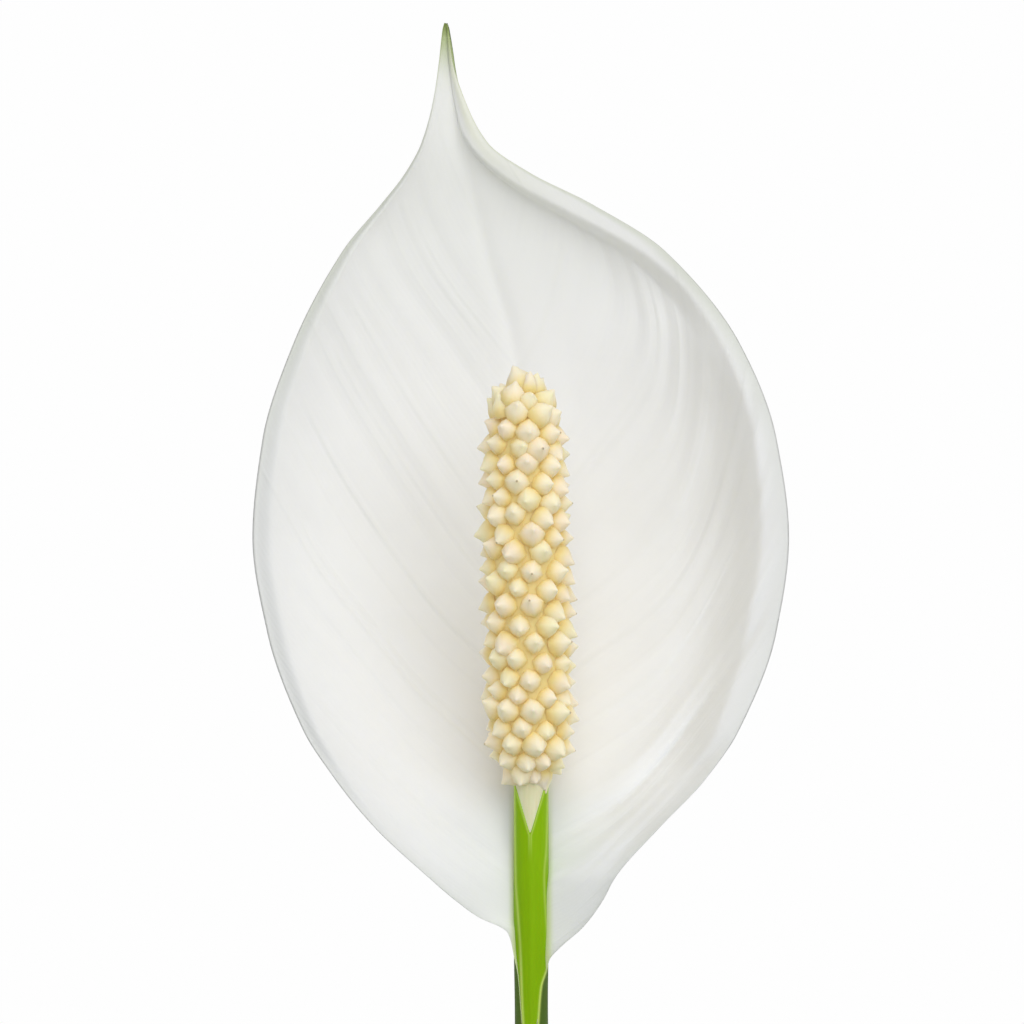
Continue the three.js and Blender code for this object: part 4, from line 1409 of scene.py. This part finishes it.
def build_florets(bloom, material):
    """Pointed florets in steep rows, bent down at the spike's foot and up at its tip."""
    draw = random.Random(FLORET_SEED)
    bm = bmesh.new()
    layers = [bm.verts.layers.float.new(mark) for mark in FLORET_MARKS]
    for number in range(bloom.florets):
        height = FLORET_RISE(number / (bloom.florets - 1)) + draw.uniform(-0.22, 0.22)
        angle = number * FLORET_TURN + draw.uniform(-0.08, 0.08)
        tip = smoothstep(height, 69, 79)
        foot = smoothstep(height, 30, 24)
        tilt = mix(-0.1, 1.4, tip**1.4) - 0.95 * foot + draw.uniform(-0.16, 0.16)
        out = outward(angle)
        point = out * math.cos(tilt) + upward(math.sin(tilt))
        size = draw.uniform(0.82, 1.1) * mix(1, 1.08, tip)
        turn = point.to_track_quat("Z", "Y").to_matrix().to_4x4()
        roll = Matrix.Rotation(draw.uniform(-0.25, 0.25), 4, "Z")
        bent = tipped(draw.uniform(-0.36, 0.36), draw.uniform(-0.4, 0.4))
        at = Matrix.Translation(spadix_axis(bloom, height) + out * FLORET_FOOT(height) * MM)
        stigma = 1.0 if draw.random() < STIGMA_CHANCE else 0.0
        marks = (draw.random(), stigma)
        at = at @ turn @ bent @ roll
        floret(bm, bloom.floret_radius * size, bloom.floret_height * size, at, marks, layers)
    bmesh.ops.remove_doubles(bm, verts=bm.verts, dist=WELD)
    bmesh.ops.recalc_face_normals(bm, faces=bm.faces)
    finish_piece("florets", bm, material, ["spadix"])


def build_core(bloom, material):
    """The spike's core, which shows as gaps between the florets."""

    def place(even, face, share_up):
        height = mix(CORE_FOOT, CORE_TOP, share_up)
        radius = (FLORET_FOOT(height) + 0.5) * math.sqrt(clamp(12 * (1 - share_up)))
        angle = even * math.pi / 2
        ring = Vector((radius * math.sin(angle), -face * radius * math.cos(angle), 0)) * MM
        # Rise 0 gives the core the colour of the floret feet, painted shade in the gaps between florets.
        return spadix_axis(bloom, height) + ring, (0.0, 0.5, 0.0)

    core = bmesh.new()
    skin_round(core, columns=32, rows=40, place=place, marks=FLORET_MARKS)
    finish_piece("spike_core", core, material)


def build_stipe(bloom):
    """The spike's short bare stalk: a V set in the flower stalk's front, thicker towards the spike."""

    def place(even, face, share_up):
        height = mix(V_FOOT - 0.5, V_TOP + 1, share_up)
        half = min(v_half(height) + 0.25, 2.2)
        angle = even * math.pi / 2
        x = V_MIDDLE + half * math.sin(angle)
        front = 0.14 - math.sqrt(max(0.3, (bloom.stalk_radius / MM) ** 2 - x * x))
        deep = 1.2 + 2.4 * smoothstep(height, 19, 23)
        y = front if face > 0 else front + 0.1 + deep * math.cos(angle)
        return Vector((x, y, height)) * MM + upward(bloom.base), ()

    stipe = bmesh.new()
    skin_round(stipe, columns=40, rows=40, place=place)
    finish_piece("stipe", stipe, stipe_material())


# ---- Studio ----

# Of the camera, in millimetres.
SENSOR_WIDTH = 36
# Where each soft light stands from the bloom, and how wide it is.
KEY_LIGHT = (Vector((0.36, -1.1, 0.75)), 1.5)
FILL_LIGHT = (Vector((-1.1, -1.2, 0.3)), 1.4)


def build_studio(studio):
    """White surroundings, a floor that fades away, soft lights and the camera."""
    scene = bpy.context.scene
    scene.view_settings.view_transform = "Standard"
    scene.world = studio_world(studio)

    bm = bmesh.new()
    bmesh.ops.create_circle(bm, cap_ends=True, segments=96, radius=studio.floor_radius)
    bmesh.ops.translate(bm, verts=bm.verts, vec=(0, 0, -0.5 * MM))
    add_object("floor", bm, floor_material(studio))

    aim = Vector((studio.aim_x, studio.aim_y, studio.aim_z))
    soft_light("key", aim, *KEY_LIGHT, studio.key)
    soft_light("fill", aim, *FILL_LIGHT, studio.fill)

    data = bpy.data.cameras.new("camera")
    data.lens = studio.lens
    data.sensor_width = SENSOR_WIDTH
    data.clip_start = 0.05
    camera = bpy.data.objects.new("camera", data)
    camera.location = aim - Vector((0, studio.field * studio.lens / SENSOR_WIDTH, 0))
    camera.rotation_euler = (math.pi / 2, 0, 0)
    scene.collection.objects.link(camera)
    scene.camera = camera


def studio_world(studio):
    """Surroundings that the camera sees as the backdrop and that light the plant as a dimmer white."""
    world = bpy.data.worlds.new("studio")
    world.use_nodes = True
    world.node_tree.nodes.clear()
    graph = Graph(world.node_tree)
    seen = graph.add("ShaderNodeBackground", {"Color": studio.backdrop, "Strength": 1.0}).outputs[0]
    lit = graph.add("ShaderNodeBackground", {"Color": (1.0, 1.0, 1.0), "Strength": studio.sky}).outputs[0]
    camera_ray = graph.add("ShaderNodeLightPath").outputs["Is Camera Ray"]
    mixed = graph.add("ShaderNodeMixShader", {0: camera_ray, 1: lit, 2: seen}).outputs[0]
    graph.add("ShaderNodeOutputWorld", {"Surface": mixed})
    return world


def soft_light(name, aim, offset, size, power):
    """A square soft light that the camera doesn't see, turned to the bloom."""
    data = bpy.data.lights.new(name, "AREA")
    data.shape = "SQUARE"
    data.size = size
    data.energy = power
    light = bpy.data.objects.new(name, data)
    light.location = aim + offset
    light.rotation_euler = (-offset).to_track_quat("-Z", "Y").to_euler()
    light.visible_camera = False
    bpy.context.scene.collection.objects.link(light)


# ---- Operators and panel ----


class Build:
    """What every operator here shares."""

    bl_options = {"REGISTER", "UNDO"}

    def settings(self, context):
        return context.scene.peace_lily


class LILY_OT_studio(Build, bpy.types.Operator):
    """Set up the camera, the soft lights and the pale floor"""

    bl_idname = "peace_lily.studio"
    bl_label = "Studio"

    def execute(self, context):
        build_studio(self.settings(context).studio)
        return {"FINISHED"}


class LILY_OT_pot(Build, bpy.types.Operator):
    """Turn the clay pot and drill its drain holes"""

    bl_idname = "peace_lily.pot"
    bl_label = "Clay Pot"

    def execute(self, context):
        build_pot(self.settings(context).pot)
        return {"FINISHED"}


class LILY_OT_mix(Build, bpy.types.Operator):
    """Fill the pot with potting mix, bark chips and perlite"""

    bl_idname = "peace_lily.potting_mix"
    bl_label = "Potting Mix"

    def execute(self, context):
        settings = self.settings(context)
        build_mix(settings.pot, settings.mix)
        return {"FINISHED"}


class LILY_OT_crown(Build, bpy.types.Operator):
    """Grow the crown with its dry sheaths"""

    bl_idname = "peace_lily.crown"
    bl_label = "Crown"

    def execute(self, context):
        build_crown(self.settings(context).leaf)
        return {"FINISHED"}


class LILY_OT_leaves(Build, bpy.types.Operator):
    """Grow every leaf, each on its own petiole"""

    bl_idname = "peace_lily.leaves"
    bl_label = "Leaves"

    def execute(self, context):
        build_leaves(self.settings(context).leaf)
        return {"FINISHED"}


class LILY_OT_stalk(Build, bpy.types.Operator):
    """Grow the flower stalk"""

    bl_idname = "peace_lily.flower_stalk"
    bl_label = "Flower Stalk"

    def execute(self, context):
        build_stalk(self.settings(context).bloom)
        return {"FINISHED"}


class LILY_OT_spathe(Build, bpy.types.Operator):
    """Open the white spathe"""

    bl_idname = "peace_lily.spathe"
    bl_label = "Spathe"

    def execute(self, context):
        build_spathe(self.settings(context).bloom)
        return {"FINISHED"}


class LILY_OT_spadix(Build, bpy.types.Operator):
    """Set the spadix with florets on its short stalk"""

    bl_idname = "peace_lily.spadix"
    bl_label = "Spadix"

    def execute(self, context):
        bloom = self.settings(context).bloom
        material = spadix_material(bloom)
        build_florets(bloom, material)
        build_core(bloom, material)
        build_stipe(bloom)
        return {"FINISHED"}


STEPS = (
    LILY_OT_studio,
    LILY_OT_pot,
    LILY_OT_mix,
    LILY_OT_crown,
    LILY_OT_leaves,
    LILY_OT_stalk,
    LILY_OT_spathe,
    LILY_OT_spadix,
)


class LILY_PT_sidebar(bpy.types.Panel):
    """Lists the plant's settings and the steps that build it"""

    bl_idname = "LILY_PT_sidebar"
    bl_label = "Potted Peace Lily"
    bl_space_type = "VIEW_3D"
    bl_region_type = "UI"
    bl_category = "Peace Lily"

    def draw(self, context):
        settings = context.scene.peace_lily
        for part in ("pot", "mix", "leaf", "bloom", "studio"):
            box = self.layout.box()
            box.label(text=part.title())
            group = getattr(settings, part)
            for key in group.__annotations__:
                box.prop(group, key)
        for step in STEPS:
            self.layout.operator(step.bl_idname)


CLASSES = (
    PotSettings,
    MixSettings,
    LeafSettings,
    BloomSettings,
    StudioSettings,
    LilySettings,
    *STEPS,
    LILY_PT_sidebar,
)


def register():
    for cls in CLASSES:
        bpy.utils.register_class(cls)
    bpy.types.Scene.peace_lily = PointerProperty(type=LilySettings)


def unregister():
    del bpy.types.Scene.peace_lily
    for cls in reversed(CLASSES):
        bpy.utils.unregister_class(cls)


def main():
    register()
    bpy.ops.peace_lily.studio()
    bpy.ops.peace_lily.pot()
    bpy.ops.peace_lily.potting_mix()
    bpy.ops.peace_lily.crown()
    bpy.ops.peace_lily.leaves()
    bpy.ops.peace_lily.flower_stalk()
    bpy.ops.peace_lily.spathe()
    bpy.ops.peace_lily.spadix()


if __name__ == "__main__":
    main()
